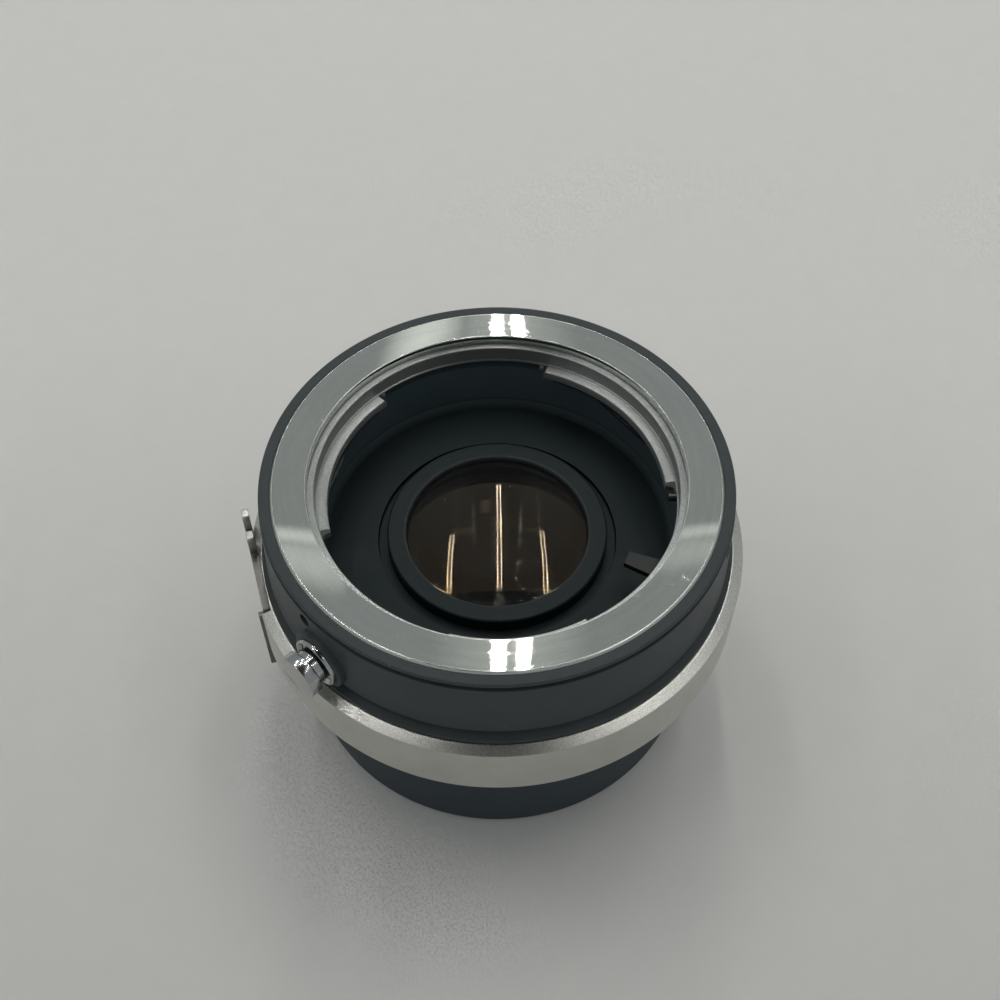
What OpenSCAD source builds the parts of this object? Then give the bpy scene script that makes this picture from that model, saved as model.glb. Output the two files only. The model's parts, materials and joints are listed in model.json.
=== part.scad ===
/* [Lengths along the axis] */
// Height of the rear seat above the underside of the rear cap
seat_h = 15; // [14:0.5:18]
// Distance from the rear seat to the front seat
register = 29.1; // [28:0.1:32]
// Height of the rear barrel's outer wall
rear_h = 4.9; // [4:0.1:6]
// Depth of the lens cell's face below the front seat
cell_depth = 11.8; // [11:0.1:12.6]
// Depth of the black cavity's floor below the front seat
cavity_depth = 13.5; // [12.8:0.1:14]

/* [Front bayonet] */
// Radius of the throat
throat_r = 23.9; // [22:0.1:26]
// Width of the ledge inside the flange
ledge_w = 0.9; // [0.6:0.1:1.4]
// Depth of the ledge inside the flange
ledge_depth = 1.5; // [1:0.1:2.2]
// Width of the flange's seat
flange_w = 4.7; // [4.2:0.1:5.6]
// Bevel on the flange's outer edge
flange_edge = 0.3; // [0.1:0.05:0.6]
// Depth of the lugs' upper faces below the front seat
lug_depth = 3.8; // [3.2:0.1:3.9]
// Thickness of a lug
lug_t = 1.3; // [1:0.1:1.4]
// How far the lugs stand into the throat
lug_in = 1.5; // [1.1:0.1:1.9]
// Where the right-hand lug starts, degrees from the right-hand side
lug_1_from = 3; // [1:1:5]
// Where the right-hand lug ends, degrees
lug_1_to = 73; // [68:1:78]
// Where the left-hand lug starts, degrees
lug_2_from = 133; // [130:1:138]
// Where the left-hand lug ends, degrees
lug_2_to = 196; // [192:1:200]
// Where the near lug starts, degrees
lug_3_from = 254; // [250:1:258]
// Where the near lug ends, degrees
lug_3_to = 300; // [296:1:306]
// Round in the corner between a lug's end and the throat
lug_fillet = 0.9; // [0.4:0.1:1]
// Step from the throat back to the inside of the ring's skirt
skirt_step = 1.7; // [1.4:0.1:2.4]
// How far the ring's skirt reaches below the lugs
skirt_below = 0.4; // [0.3:0.1:1]
// Thickness of a leaf spring
leaf_t = 0.3; // [0.2:0.05:0.35]
// How far a leaf spring's middle shows past its lug
leaf_show = 0.5; // [0.2:0.1:0.8]
// Angle that a leaf spring stops short of each end of its lug, degrees
leaf_short = 4; // [3:1:10]

/* [Front barrel] */
// Width of the black rim round the flange
rim_w = 1.45; // [1.2:0.05:2]
// How far the rim lies below the front seat
rim_drop = 0.25; // [0.1:0.05:0.5]
// Height of the rim above its groove
rim_h = 0.4; // [0.3:0.05:0.8]
// Height of the groove under the rim
groove_h = 0.5; // [0.3:0.05:0.8]
// Depth of the groove under the rim
groove_d = 0.35; // [0.2:0.05:0.5]
// How far the wall spreads from the rim to its lower end
wall_flare = 0.5; // [0.2:0.05:0.8]
// Height of the hollow band below the wall
cove_h = 1.3; // [1:0.05:1.6]
// Depth of the hollow band
cove_d = 0.5; // [0.3:0.05:0.8]
// Height of the lip at the lower end of the barrel
lip_h = 0.7; // [0.5:0.05:1]
// How far the lip stands out past the wall
lip_out = 0.25; // [0.1:0.05:0.4]
// Step from the flange's edge in to the neck that the coupling ring turns on
neck_step = 0.5; // [0.3:0.05:0.7]
// Wall of that neck
neck_wall = 2.75; // [2.5:0.05:3]
// Width of the ledge that carries the light baffle
seat_ledge = 0.7; // [0.5:0.05:0.9]
// Height of the chamber that holds the lock
chamber_h = 3.6; // [3.4:0.1:4]
// Radius of a grub screw
grub_r = 0.9; // [0.7:0.05:1.1]
// Depth of the grub screws below the front seat
grub_depth = 2.95; // [2.6:0.05:3.3]
// Direction of the first of three grub screws, degrees
grub_az = 100.5; // [95:0.5:105]

/* [Release button] */
// Direction that the button points, degrees
button_az = 225.5; // [223:0.5:228]
// Radius of the button where it slides in its collar
button_r = 2.8; // [2.6:0.05:3]
// How far the button's head is wider than its sliding part
button_head_out = 0.25; // [0.1:0.05:0.3]
// How far the waist behind the head is narrower than the sliding part
button_waist_in = 0.45; // [0.3:0.05:0.6]
// How far the button stands out of its collar
button_out = 2.85; // [2.4:0.05:3.2]
// How far the button goes in
button_travel = 0.9; // [0.6:0.05:0.9]
// Radius of the button's stem
stem_r = 1; // [0.8:0.05:1.1]
// Radius of the neck near the stem's inner end
stem_neck_r = 0.4; // [0.3:0.05:0.45]
// Thickness of the stem's inner end
stem_end_t = 0.4; // [0.3:0.05:0.5]
// Width of the collar's rim past its tube
collar_lip = 0.27; // [0.15:0.01:0.5]
// Thickness of the collar's rim
collar_t = 0.6; // [0.4:0.05:0.8]
// Wall of the collar's tube
collar_wall = 0.35; // [0.25:0.05:0.45]
// Wall of the boss round the collar's tube
boss_wall = 1; // [0.8:0.05:1.3]
// How far the boss stands out of the barrel's wall
boss_out = 0.5; // [0.3:0.05:0.8]
// Radius of the spring's wire
spring_wire_r = 0.17; // [0.12:0.01:0.2]
// Number of turns in the button's spring
spring_turns = 4; // [3:1:4]

/* [Lens lock] */
// Thickness of the lock lever
lever_h = 1.7; // [1.5:0.05:1.8]
// Width of the lock lever
lever_w = 1; // [0.8:0.05:1.1]
// Angle from the button back to the lever's pivot, degrees
lever_arm = 9.5; // [9:0.25:11]
// Angle from the pivot on to the locking tooth, degrees
tooth_arm = 10; // [9:0.25:11]
// How far the tooth stands into the throat
tooth_in = 0.9; // [0.5:0.05:1]
// Width of the tooth
tooth_w = 2.2; // [1.8:0.1:2.6]
// Radius of the pivot pin
pivot_r = 0.6; // [0.5:0.05:0.7]

/* [Aperture relay] */
// Wall of the relay sleeve
relay_t = 0.8; // [0.6:0.05:0.9]
// Thickness of the foot of each finger
foot_t = 0.4; // [0.3:0.05:0.5]
// Thickness of the front finger
finger_t = 0.9; // [0.7:0.05:1.1]
// Depth of the front finger below the front seat
finger_depth = 8; // [7.6:0.1:8.4]
// How far the front finger reaches into the cavity
finger_reach = 5.58; // [4.8:0.02:6.2]
// Width of the front finger at its tip
finger_tip_w = 2; // [1.6:0.1:2.4]
// Width of the front finger at its root
finger_root_w = 3.2; // [2.8:0.1:3.6]
// Direction of the front finger at rest, degrees
finger_az = -24; // [-26:1:-22]
// How far the relay swings, degrees
relay_swing = 18; // [10:1:20]
// Direction of the rear finger at rest, degrees
rear_finger_az = 150; // [140:1:155]
// How far the rear finger stands inside the rear bayonet's tube
rear_finger_in = 2.1; // [1.7:0.1:2.7]
// Width of the rear finger
rear_finger_w = 4; // [3:0.1:5]
// How far the rear finger reaches behind the rear seat
rear_finger_reach = 4; // [3:0.1:5]
// Thickness of the ring that keeps the relay in
keeper_t = 0.4; // [0.3:0.05:0.5]
// Radius of a rivet in a finger's foot
rivet_r = 0.45; // [0.35:0.05:0.6]

/* [Coupling ring] */
// How far the coupling ring stands out past the arm's seat
ring_step = 1.45; // [1.2:0.05:1.8]
// Width of the bevel on the ring's upper edge
ring_bevel_w = 1.4; // [1:0.05:1.6]
// Height of that bevel
ring_bevel_h = 0.45; // [0.3:0.05:0.8]
// Bevel on the ring's lower edge
ring_edge = 0.25; // [0.1:0.05:0.4]
// How far the ring turns back from rest, degrees
ring_back = 40; // [20:1:45]
// How far the ring turns on from rest, degrees
ring_on = 15; // [5:1:18]
// Radius of the pin that stops the ring
stop_r = 0.7; // [0.5:0.05:0.9]
// How far the stop pin stands out of the neck
stop_out = 0.9; // [0.6:0.05:1.1]
// Direction of the stop pin, degrees
stop_az = 60; // [50:1:70]

/* [Fork arm] */
// Direction that the arm's flat face points, degrees
arm_az = 196; // [194:0.5:198]
// Gap between the arm and the barrel's lip
arm_clear = 0.5; // [0.3:0.05:0.7]
// Thickness of the arm
arm_t = 1; // [0.9:0.05:1.2]
// Length of the arm ahead of its middle line
arm_ahead = 3.55; // [3:0.05:4]
// Length of the arm behind its middle line
arm_behind = 11.2; // [10.8:0.05:12]
// Width of the slot between the prongs
slot_w = 2.15; // [1.6:0.05:2.4]
// Width of a prong
prong_w = 1.65; // [1.4:0.05:1.9]
// Height of the prongs above the arm
prong_h = 3.5; // [2.5:0.1:4.5]
// How far the rear tab hangs below the coupling ring
tab_drop = 4.2; // [3:0.1:5]
// Width of the rear tab
tab_w = 6; // [4:0.1:7]
// Height of the arm behind the rear tab
arm_h = 5.7; // [5:0.1:6.5]
// Radius of the arm's screws
arm_screw_r = 0.7; // [0.5:0.05:0.8]
// Distance between the arm's two screws
arm_screw_gap = 5; // [4.5:0.1:5.5]

/* [Rear body] */
// Wall of the rear barrel round the neck
rear_wall = 1; // [0.8:0.05:1.4]
// Thickness of the web inside the rear barrel
web_t = 2.5; // [2:0.1:2.8]
// Width of that web, in from the neck's outside
web_w = 4.5; // [4.2:0.1:4.8]
// Step from the rear barrel in to the rear bayonet's plate
plate_step = 1.2; // [0.6:0.05:1.4]
// Thickness of that plate
plate_t = 2; // [1.8:0.1:2.4]
// Gap between the rear bayonet's tube and the lugs of the mount that it fits
mount_gap = 0.1; // [0.05:0.05:0.3]
// Wall of that tube
rear_tube_t = 1.4; // [1.1:0.05:1.6]
// How far the tube reaches behind the rear seat
rear_tube_h = 5.1; // [4.8:0.1:5.6]
// Gap between the rear lugs and the throat of the mount that they fit
rear_lug_gap = 0.15; // [0.05:0.05:0.4]
// Thickness of a rear lug
rear_lug_t = 1.3; // [1:0.05:1.6]
// Angle that a rear lug stops short of each end of its gap, degrees
lug_play = 3; // [2:0.5:5]
// Number of screws in the rear bayonet
plate_screws = 4; // [3:1:6]
// Radius of those screws
plate_screw_r = 0.7; // [0.5:0.05:0.85]

/* [Optics] */
// Radius of the lens tube's bore
tube_bore_r = 13.2; // [12:0.05:14]
// Wall of the lens tube
tube_wall = 1.8; // [1.4:0.05:2.2]
// How far the lens cell's front ring stands out past the tube
cell_over = 0.05; // [0:0.05:0.4]
// Width of the front ring's lip over the glass
cell_lip = 0.7; // [0.4:0.05:1.2]
// Thickness of the front ring's face
cell_t = 1.2; // [1:0.05:1.5]
// Gap between the front ring and the hole in the cavity's floor
floor_gap = 1.35; // [0.8:0.05:2]
// Depth of the front element's edge below the front ring's face
crown_set = 0.9; // [0.8:0.05:1.1]
// Thickness of the lip at the lens tube's rear end
tube_lip_t = 0.8; // [0.6:0.05:1]
// Thickness of the lens tube's flange
tube_flange_t = 1.4; // [1.1:0.05:1.6]
// Edge thickness of the rear element
rear_edge = 1.25; // [1:0.05:1.6]
// Height of the rear spacer
rear_spacer_h = 4.7; // [4.4:0.05:5]
// Edge thickness of the middle element
middle_edge = 3.85; // [3.7:0.05:4.1]
// Height of the front spacer
front_spacer_h = 2.8; // [2.4:0.05:3]
// Edge thickness of the front group's rear element
flint_edge = 3.75; // [3.6:0.05:3.9]
// Edge thickness of the front element
crown_edge = 2.45; // [2.2:0.05:2.6]
// Radius of curvature of the front element's face
crown_curve = 50; // [40:1:60]
// Radius of curvature of the joint in the front group
joint_curve = 30; // [28:1:40]
// Radius of curvature of the middle element's front
middle_front_curve = 50; // [48:1:90]
// Radius of curvature of the middle element's rear
middle_rear_curve = 60; // [55:1:90]
// Radius of curvature of the rear element's front
rear_curve = 40; // [36:1:60]

/* [Rear cap] */
// Step from the rear bayonet's plate in to the cap
cap_step = 0.25; // [0:0.05:0.6]
// Wall of the cap
cap_wall = 1.6; // [1.2:0.1:2]
// Thickness of the cap's floor
cap_floor = 1.6; // [1.2:0.1:2.2]
// Bevel round the cap's foot
cap_edge = 0.6; // [0.3:0.1:1]
// Thickness of the cap's bayonet tabs
cap_tab_t = 1.4; // [1:0.1:1.6]
// Gap between the cap's rim and the rear seat
cap_gap = 0.2; // [0.1:0.05:0.4]

/* [Clearances] */
// Gap round a piece that turns or slides in another
running_gap = 0.05; // [0.02:0.01:0.08]
// Gap at the ends of a piece that turns
end_gap = 0.1; // [0.05:0.01:0.15]
// Gap round a piece that is fixed in another
fixed_gap = 0.02; // [0.01:0.005:0.04]
// Gap between pieces that pass each other
pass_gap = 0.2; // [0.15:0.01:0.22]
// Gap between glass and what holds it
glass_gap = 0.05; // [0.03:0.01:0.08]

/* [Hidden] */
$fn = 96;

// How far a cutting shape runs past what it cuts
cut = 1;
lug_from = [lug_1_from, lug_2_from, lug_3_from];
lug_to = [lug_1_to, lug_2_to, lug_3_to];

// Radii of the front bayonet, and of the necks and tubes that follow it
lug_tip_r = throat_r - lug_in;
ledge_r = throat_r + ledge_w;
flange_r = ledge_r + flange_w;
skirt_r = throat_r + skirt_step;
neck_r = flange_r - neck_step;
neck_bore_r = neck_r - neck_wall;

// Heights above the underside of the cap
z_seat = seat_h;
z_front = seat_h + register;
z_rim = z_front - rim_drop;
z_ledge = z_front - ledge_depth;
z_lug = z_front - lug_depth;
z_lug_under = z_lug - lug_t;
z_foot = z_lug_under - skirt_below;
z_plate = z_seat + plate_t;
z_web = z_plate + web_t;
z_rear_top = z_plate + rear_h;
z_ring = z_rear_top + end_gap;
z_floor = z_front - cavity_depth;
z_cell = z_front - cell_depth;
z_finger = z_front - finger_depth - finger_t;

// The light baffle, the relay and the lock fill the space inside the neck
baffle_t = 0.6;
relay_r = neck_bore_r - running_gap;
relay_in = relay_r - relay_t;
foot_in = relay_in - fixed_gap - foot_t;
baffle_r = foot_in - pass_gap;
cavity_r = baffle_r - baffle_t;
cavity_bevel = 0.9;
finger_tip_r = cavity_r - finger_reach;
z_baffle_seat = z_foot - baffle_t;
z_chamber = z_baffle_seat - chamber_h;
chamber_r = flange_r - seat_ledge;
baffle_flange_r = flange_r - pass_gap;
relay_gap = 0.3;
z_relay = z_web + relay_gap;
z_relay_top = z_chamber - relay_gap;
keeper_in = relay_in + pass_gap;
keeper_r = chamber_r - pass_gap;
z_keeper = z_chamber + keeper_t;

// The height of the button and its lever, which the lower end of the barrel follows
lever_lift = 0.15;
z_lever = z_keeper + lever_lift;
z_button = z_lever + lever_h / 2;
collar_bore_r = button_r + running_gap;
collar_tube_r = collar_bore_r + collar_wall;
collar_r = collar_tube_r + collar_lip;
boss_r = collar_tube_r + boss_wall;
boss_foot = 0.2;
z_barrel = z_button - boss_r - boss_foot;
z_ring_top = z_barrel - end_gap;

// The outside of the front barrel
rim_r = flange_r + rim_w;
rim_edge = 0.15;
z_groove = z_rim - rim_h;
z_wall_top = z_groove - groove_h;
z_lip = z_barrel + lip_h;
z_wall = z_lip + cove_h;
rim_step = 0.1;
wall_top_r = rim_r + rim_step;
wall_r = rim_r + wall_flare;
z_cove_top = z_wall - 0.45 * cove_h;
z_cove = z_wall - 0.7 * cove_h;
lip_r = wall_r + lip_out;
boss_reach = wall_r + boss_out;

// The button, its spring and the lever that it turns
lever_r = (baffle_r + chamber_r) / 2 + pass_gap;
lever_in = lever_r - lever_w / 2;
lever_out = lever_r + lever_w / 2;
pivot_az = button_az - lever_arm;
tooth_az = pivot_az - tooth_arm;
lever_length = 2 * lever_r * sin(lever_arm / 2);
echo(lever_turn = asin(button_travel / lever_length));
hub_wall = 0.9;
hub_r = pivot_r + hub_wall;
tooth_r = cavity_r - tooth_in;
tooth_below = 0.4;
z_tooth = z_baffle_seat - tooth_below;
pivot_depth = 2;
neck_slack = 0.5;
neck_play = 0.2;
stem_shoulder = lever_out + neck_slack;
stem_end = lever_in - neck_play;
well_wall = 1.05;
well_floor = chamber_r + well_wall;
button_stop = 0.25;
button_in = well_floor + button_travel + button_stop;
button_reach = boss_reach + collar_t + button_out;
button_head_gap = 0.35;
button_head_in = button_reach - button_out + button_travel + button_head_gap;
button_head_r = button_r + button_head_out;
button_land = 1;
button_waist_r = button_r - button_waist_in;
button_wall = 0.5;
spring_well_r = button_waist_r - button_wall;
spring_well = 2.6;
spring_play = 0.1;
spring_r = (stem_r + spring_well_r) / 2 + spring_play;
spring_from = well_floor + spring_wire_r + spring_play;
spring_to = button_in + spring_well - spring_wire_r - spring_play;

// The coupling ring, its stop and the fork arm
ring_h = z_ring_top - z_ring;
ring_bore_r = neck_r + running_gap;
arm_in = lip_r + arm_clear;
arm_out = arm_in + arm_t;
ring_r = arm_in + ring_step;
stop_groove_r = neck_r + stop_out + pass_gap;
z_stop = z_ring + ring_h / 2;
stop_half = asin((stop_r + running_gap) / neck_r);
stop_pin_wall = 0.6;
stop_pin_in = neck_bore_r + stop_pin_wall;
z_arm_top = z_ring_top - end_gap;
z_prong = z_arm_top + prong_h;
z_arm = z_arm_top - arm_h;
z_tab = z_ring - tab_drop;
arm_screw_z = z_arm_top - arm_h / 2;
arm_screw_from = -1.1;
arm_screw_s = [arm_screw_from, arm_screw_from + arm_screw_gap];
arm_screw_l = 2.1;
arm_head_r = 2 * arm_screw_r;
arm_head_h = 0.6;
arm_slot_w = 0.4;
arm_slot_d = 0.3;

// The rear body, whose bayonet fits a mount like the one in front, and the cap
rear_r = neck_r + rear_wall;
web_r = neck_r - web_w;
plate_r = rear_r - plate_step;
z_rear_tube = z_seat - rear_tube_h;
rear_tube_r = lug_tip_r - mount_gap;
rear_tube_in = rear_tube_r - rear_tube_t;
rear_lug_r = throat_r - rear_lug_gap;
rear_finger_r = rear_tube_in - rear_finger_in;
plate_screw_pcr = (neck_r + neck_bore_r) / 2;
// Direction of the first of the rear bayonet's screws, degrees
plate_screw_az = 20;
plate_screw_bite = 3;
plate_screw_l = plate_t + web_t + plate_screw_bite;
plate_head_h = 0.75;
plate_head_r = plate_screw_r + plate_head_h;
plate_slot_w = 0.4;
plate_slot_d = 0.4;
rear_from = [for (i = [0:2]) lug_to[i] + lug_play];
rear_to = [for (i = [0:2]) (i < 2 ? lug_from[i + 1] : lug_from[0] + 360) - lug_play];
// Angle that a cap tab stops short of each rear lug, degrees
tab_play = 5;
cap_r = plate_r - cap_step;
cap_tab_r = rear_tube_r + 2 * pass_gap;
z_cap_tab = z_rear_tube + rear_lug_t + 2 * pass_gap;
cap_in = cap_r - cap_wall;

// The optics, stacked down from the cell's face
tube_r = tube_bore_r + tube_wall;
cell_r = tube_r + cell_over;
cell_open_r = tube_bore_r - cell_lip;
floor_hole_r = cell_r + floor_gap;
glass_r = tube_bore_r - glass_gap;
clear_r = cell_open_r - end_gap;
spacer_in = clear_r + glass_gap;
z_tube_top = z_cell - cell_t;
z_crown_top = z_cell - crown_set;
z_crown = z_crown_top - crown_edge;
z_flint = z_crown - glass_gap - flint_edge;
z_front_sp = z_flint - glass_gap - front_spacer_h;
z_middle = z_front_sp - glass_gap - middle_edge;
z_rear_sp = z_middle - glass_gap - rear_spacer_h;
z_rear_el = z_rear_sp - glass_gap - rear_edge;
z_tube = z_rear_el - glass_gap - tube_lip_t;
tube_flange_r = web_r - pass_gap;
tube_screw_r = 0.6;
tube_screw_pcr = (rear_tube_r + tube_flange_r) / 2 - tube_screw_r;
// Directions of the lens tube's screws, degrees
tube_screw_az = [30, 90, 270];
tube_screw_l = 3;
rear_finger_t = 0.9;
rear_finger_half = asin(rear_finger_w / 2 / rear_finger_r);
slot_play = 0.5;
// Half the angle that the foot of a finger covers, degrees
foot_half = 5;
foot_h = 5;
rear_foot_h = 4.5;

function polar(r, a) = [r * cos(a), r * sin(a)];
function sag(curve, r) = curve - sqrt(curve * curve - r * r);

// A wedge of the plane between two angles, reaching past a radius
module wedge(r, from, to) {
  steps = 6;
  polygon(concat([[0, 0]], [for (i = [0:steps]) polar(2 * r, from + (to - from) * i / steps)]));
}

// A flat sector of a ring
module sector(r_in, r_out, from, to) {
  intersection() {
    difference() {
      circle(r = r_out);
      circle(r = r_in);
    }
    wedge(r_out, from, to);
  }
}

// A block that follows part of a circle
module arc_block(r_in, r_out, from, to, z0, z1) {
  translate([0, 0, z0])
    linear_extrude(z1 - z0)
      sector(r_in, r_out, from, to);
}

// A plain turned ring
module ring(r_in, r_out, z0, z1) {
  rotate_extrude()
    translate([r_in, z0])
      square([r_out - r_in, z1 - z0]);
}

// A rod that points away from the axis
module radial_rod(az, z, from, to, r) {
  rotate([0, 0, az])
    translate([from, 0, z])
      rotate([0, 90, 0])
        cylinder(r = r, h = to - from);
}

// An upright rod at a distance from the axis
module upright_rod(az, distance, z0, z1, r) {
  rotate([0, 0, az])
    translate([distance, 0, z0])
      cylinder(r = r, h = z1 - z0);
}

// Black plastic cap with three tabs that pass between the rear lugs
module rear_cap() {
  color("#17191b") {
    rotate_extrude()
      polygon([
        [0, 0], [cap_r - cap_edge, 0], [cap_r, cap_edge], [cap_r, z_seat - cap_gap],
        [cap_in, z_seat - cap_gap], [cap_in, cap_floor], [0, cap_floor]
      ]);
    for (i = [0:2]) {
      from = rear_to[i] + tab_play;
      to = (i < 2 ? rear_from[i + 1] : rear_from[0] + 360) - tab_play;
      arc_block(cap_tab_r, cap_in + cap_wall / 2, from, to, z_cap_tab, z_cap_tab + cap_tab_t);
    }
  }
}

// Black barrel with its neck, its lock chamber and the boss for the button
module front_barrel() {
  color("#1b1d20")
    difference() {
      union() {
        rotate_extrude()
          polygon([
            [flange_r + fixed_gap, z_rim], [rim_r - rim_edge, z_rim], [rim_r, z_rim - rim_edge],
            [rim_r, z_groove], [rim_r - groove_d, z_groove - groove_h / 2],
            [wall_top_r, z_wall_top], [wall_r, z_wall], [wall_r - cove_d, z_cove_top],
            [wall_r - cove_d, z_cove], [lip_r, z_lip], [lip_r, z_barrel],
            [neck_r, z_barrel], [neck_r, z_web], [neck_bore_r, z_web], [neck_bore_r, z_chamber],
            [chamber_r, z_chamber], [chamber_r, z_baffle_seat], [flange_r + fixed_gap, z_baffle_seat]
          ]);
        radial_rod(button_az, z_button, well_floor, boss_reach, boss_r);
      }
      radial_rod(button_az, z_button, well_floor, boss_reach + cut, collar_tube_r + fixed_gap);
      radial_rod(button_az, z_button, chamber_r - cut, well_floor + cut, stem_r + running_gap);
      for (i = [0:2])
        radial_rod(grub_az + 120 * i, z_front - grub_depth, flange_r - cut, wall_r + cut, grub_r + fixed_gap);
      upright_rod(pivot_az, lever_r, z_chamber - pivot_depth, z_chamber + cut, pivot_r + fixed_gap);
      radial_rod(stop_az, z_stop, stop_pin_in, neck_r + cut, stop_r + fixed_gap);
      keeper_screw_rods(z_chamber - keeper_screw_l, z_chamber + cut, keeper_screw_r + fixed_gap);
      plate_screw_rods(z_web - cut, z_seat + plate_screw_l + fixed_gap, plate_screw_r + fixed_gap);
    }
}

// A lug in plan, with rounds where its ends meet the throat.
// Each round runs a little past the throat and the lug's end, so that it crosses them at an angle.
lug_root = 0.5;
round_past = 0.08;
module lug_plan(from, to) {
  sector(lug_tip_r, skirt_r + lug_root, from, to);
  round_r = throat_r - lug_fillet + round_past;
  round_a = asin((lug_fillet - round_past) / round_r);
  for (side = [[from, -1], [to, 1]]) {
    end = side[0] + side[1] * round_a;
    difference() {
      sector(round_r * cos(round_a), skirt_r + lug_root, min(side[0], end), max(side[0], end));
      translate(polar(round_r, end))
        circle(r = lug_fillet);
    }
  }
}

// Bright ring that the lens seats on, with three lugs
module front_bayonet_ring() {
  color("#c9cbcc")
    difference() {
      union() {
        rotate_extrude()
          polygon([
            [ledge_r, z_front], [flange_r - flange_edge, z_front], [flange_r, z_front - flange_edge],
            [flange_r, z_foot], [skirt_r, z_foot], [skirt_r, z_lug], [throat_r, z_lug],
            [throat_r, z_ledge], [ledge_r, z_ledge]
          ]);
        for (i = [0:2])
          translate([0, 0, z_lug_under])
            linear_extrude(lug_t)
              lug_plan(lug_from[i], lug_to[i]);
      }
      for (i = [0:2])
        radial_rod(grub_az + 120 * i, z_front - grub_depth, grub_in, flange_r + cut, grub_r + fixed_gap);
      leaf_screw_rods(z_lug_under - cut, z_lug_under + leaf_screw_l, leaf_screw_r + fixed_gap);
      radial_rod(stop_pin_az, z_stop_pin, skirt_r - cut, stop_pin_out, stop_pin_r + fixed_gap);
    }
}

// Three slotted screws that fix the bayonet ring in the barrel
grub_bite = 1.2;
grub_in = flange_r - grub_bite;
grub_out = wall_top_r - pass_gap;
grub_slot_w = 0.35;
grub_slot_d = 0.4;
module barrel_grub_screws() {
  color("#2b2d30")
    for (i = [0:2])
      difference() {
        radial_rod(grub_az + 120 * i, z_front - grub_depth, grub_in + fixed_gap, grub_out, grub_r);
        rotate([0, 0, grub_az + 120 * i])
          translate([grub_out - grub_slot_d, -grub_r - cut, z_front - grub_depth - grub_slot_w / 2])
            cube([grub_slot_d + cut, 2 * (grub_r + cut), grub_slot_w]);
      }
}

// Where the leaf springs and their screws lie under the lugs
leaf_top = z_lug_under - fixed_gap;
leaf_out = cavity_r - end_gap;
leaf_root = 3;
// Angle from a leaf spring's end to its screw, degrees
leaf_screw_in = 4;
leaf_screw_r = 0.35;
leaf_screw_l = 0.9;
leaf_head_r = 0.7;
leaf_head_h = 0.4;
leaf_screw_pcr = leaf_out - leaf_head_r - running_gap;
module leaf_screw_rods(z0, z1, r) {
  for (i = [0:2])
    upright_rod(lug_from[i] + leaf_short + leaf_screw_in, leaf_screw_pcr, z0, z1, r);
}

// Three thin strips that press the lens against its seat: a narrow band under the lug, and a straight
// middle that shows past it
module bayonet_leaf_springs() {
  color("#9a9c9d")
    difference() {
      for (i = [0:2]) {
        middle = (lug_from[i] + lug_to[i]) / 2;
        half = (lug_to[i] - lug_from[i]) / 2 - leaf_short;
        translate([0, 0, leaf_top - leaf_t])
          linear_extrude(leaf_t) {
            sector(lug_tip_r + end_gap, leaf_out, middle - half, middle + half);
            intersection() {
              sector(lug_tip_r - leaf_root, leaf_out, middle - half, middle + half);
              rotate(middle)
                translate([lug_tip_r - leaf_show, -lug_tip_r])
                  square([flange_r, 2 * lug_tip_r]);
            }
          }
      }
      leaf_screw_rods(leaf_top - cut, leaf_top + cut, leaf_screw_r + fixed_gap);
    }
}

module leaf_spring_screws() {
  color("#8d8f90") {
    leaf_screw_rods(leaf_top - leaf_t - leaf_head_h, z_lug_under + leaf_screw_l - fixed_gap, leaf_screw_r);
    leaf_screw_rods(leaf_top - leaf_t - leaf_head_h, leaf_top - leaf_t - fixed_gap, leaf_head_r);
  }
}

// Peg that stops the lens when it has been turned home
stop_pin_r = 0.55;
// Angle from the peg to the start of the right-hand lug, degrees
stop_pin_before = 4;
stop_pin_az = lug_1_from - stop_pin_before;
stop_pin_show = 1.2;
stop_pin_root = 1.4;
stop_pin_tip = throat_r - stop_pin_show;
stop_pin_out = skirt_r + stop_pin_root;
z_stop_pin = z_lug_under + stop_pin_r + end_gap;
module lens_stop_pin() {
  color("#b4b6b7")
    radial_rod(stop_pin_az, z_stop_pin, stop_pin_tip, stop_pin_out - fixed_gap, stop_pin_r);
}

// Black cup that hides the works, with openings for the finger and the tooth
finger_window = 0.3;
// Angle left free on each side of the finger in its opening, degrees
finger_window_a = 2;
// Angle left free on each side of the tooth in its opening, degrees
tooth_window_a = 1.5;
module light_baffle() {
  color("#1c1e21")
    difference() {
      rotate_extrude()
        polygon([
          [floor_hole_r, z_floor - baffle_t], [baffle_r, z_floor - baffle_t], [baffle_r, z_baffle_seat],
          [baffle_flange_r, z_baffle_seat], [baffle_flange_r, z_foot - fixed_gap],
          [cavity_r, z_foot - fixed_gap], [cavity_r, z_floor + cavity_bevel],
          [cavity_r - cavity_bevel, z_floor], [floor_hole_r, z_floor]
        ]);
      finger_half = asin(finger_root_w / 2 / cavity_r) + finger_window_a;
      arc_block(cavity_r - cut, baffle_r + end_gap, finger_az - finger_half,
        finger_az + relay_swing + finger_half, z_finger - finger_window, z_finger + finger_t + finger_window);
      tooth_half = asin(tooth_w / 2 / cavity_r) + tooth_window_a;
      arc_block(cavity_r - cut, baffle_r + end_gap, tooth_az - tooth_half, tooth_az + tooth_half,
        z_lever - pass_gap, z_tooth + pass_gap);
    }
}

// Flat ring that keeps the relay sleeve down in the neck
keeper_screw_r = 0.5;
keeper_screw_l = 2;
keeper_head_r = 0.9;
keeper_head_h = 0.45;
keeper_screw_pcr = (neck_bore_r + chamber_r) / 2;
// Directions of the keeper ring's screws, degrees
keeper_screw_az = [40, 150, 290];
module keeper_screw_rods(z0, z1, r) {
  for (az = keeper_screw_az)
    upright_rod(az, keeper_screw_pcr, z0, z1, r);
}

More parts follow.
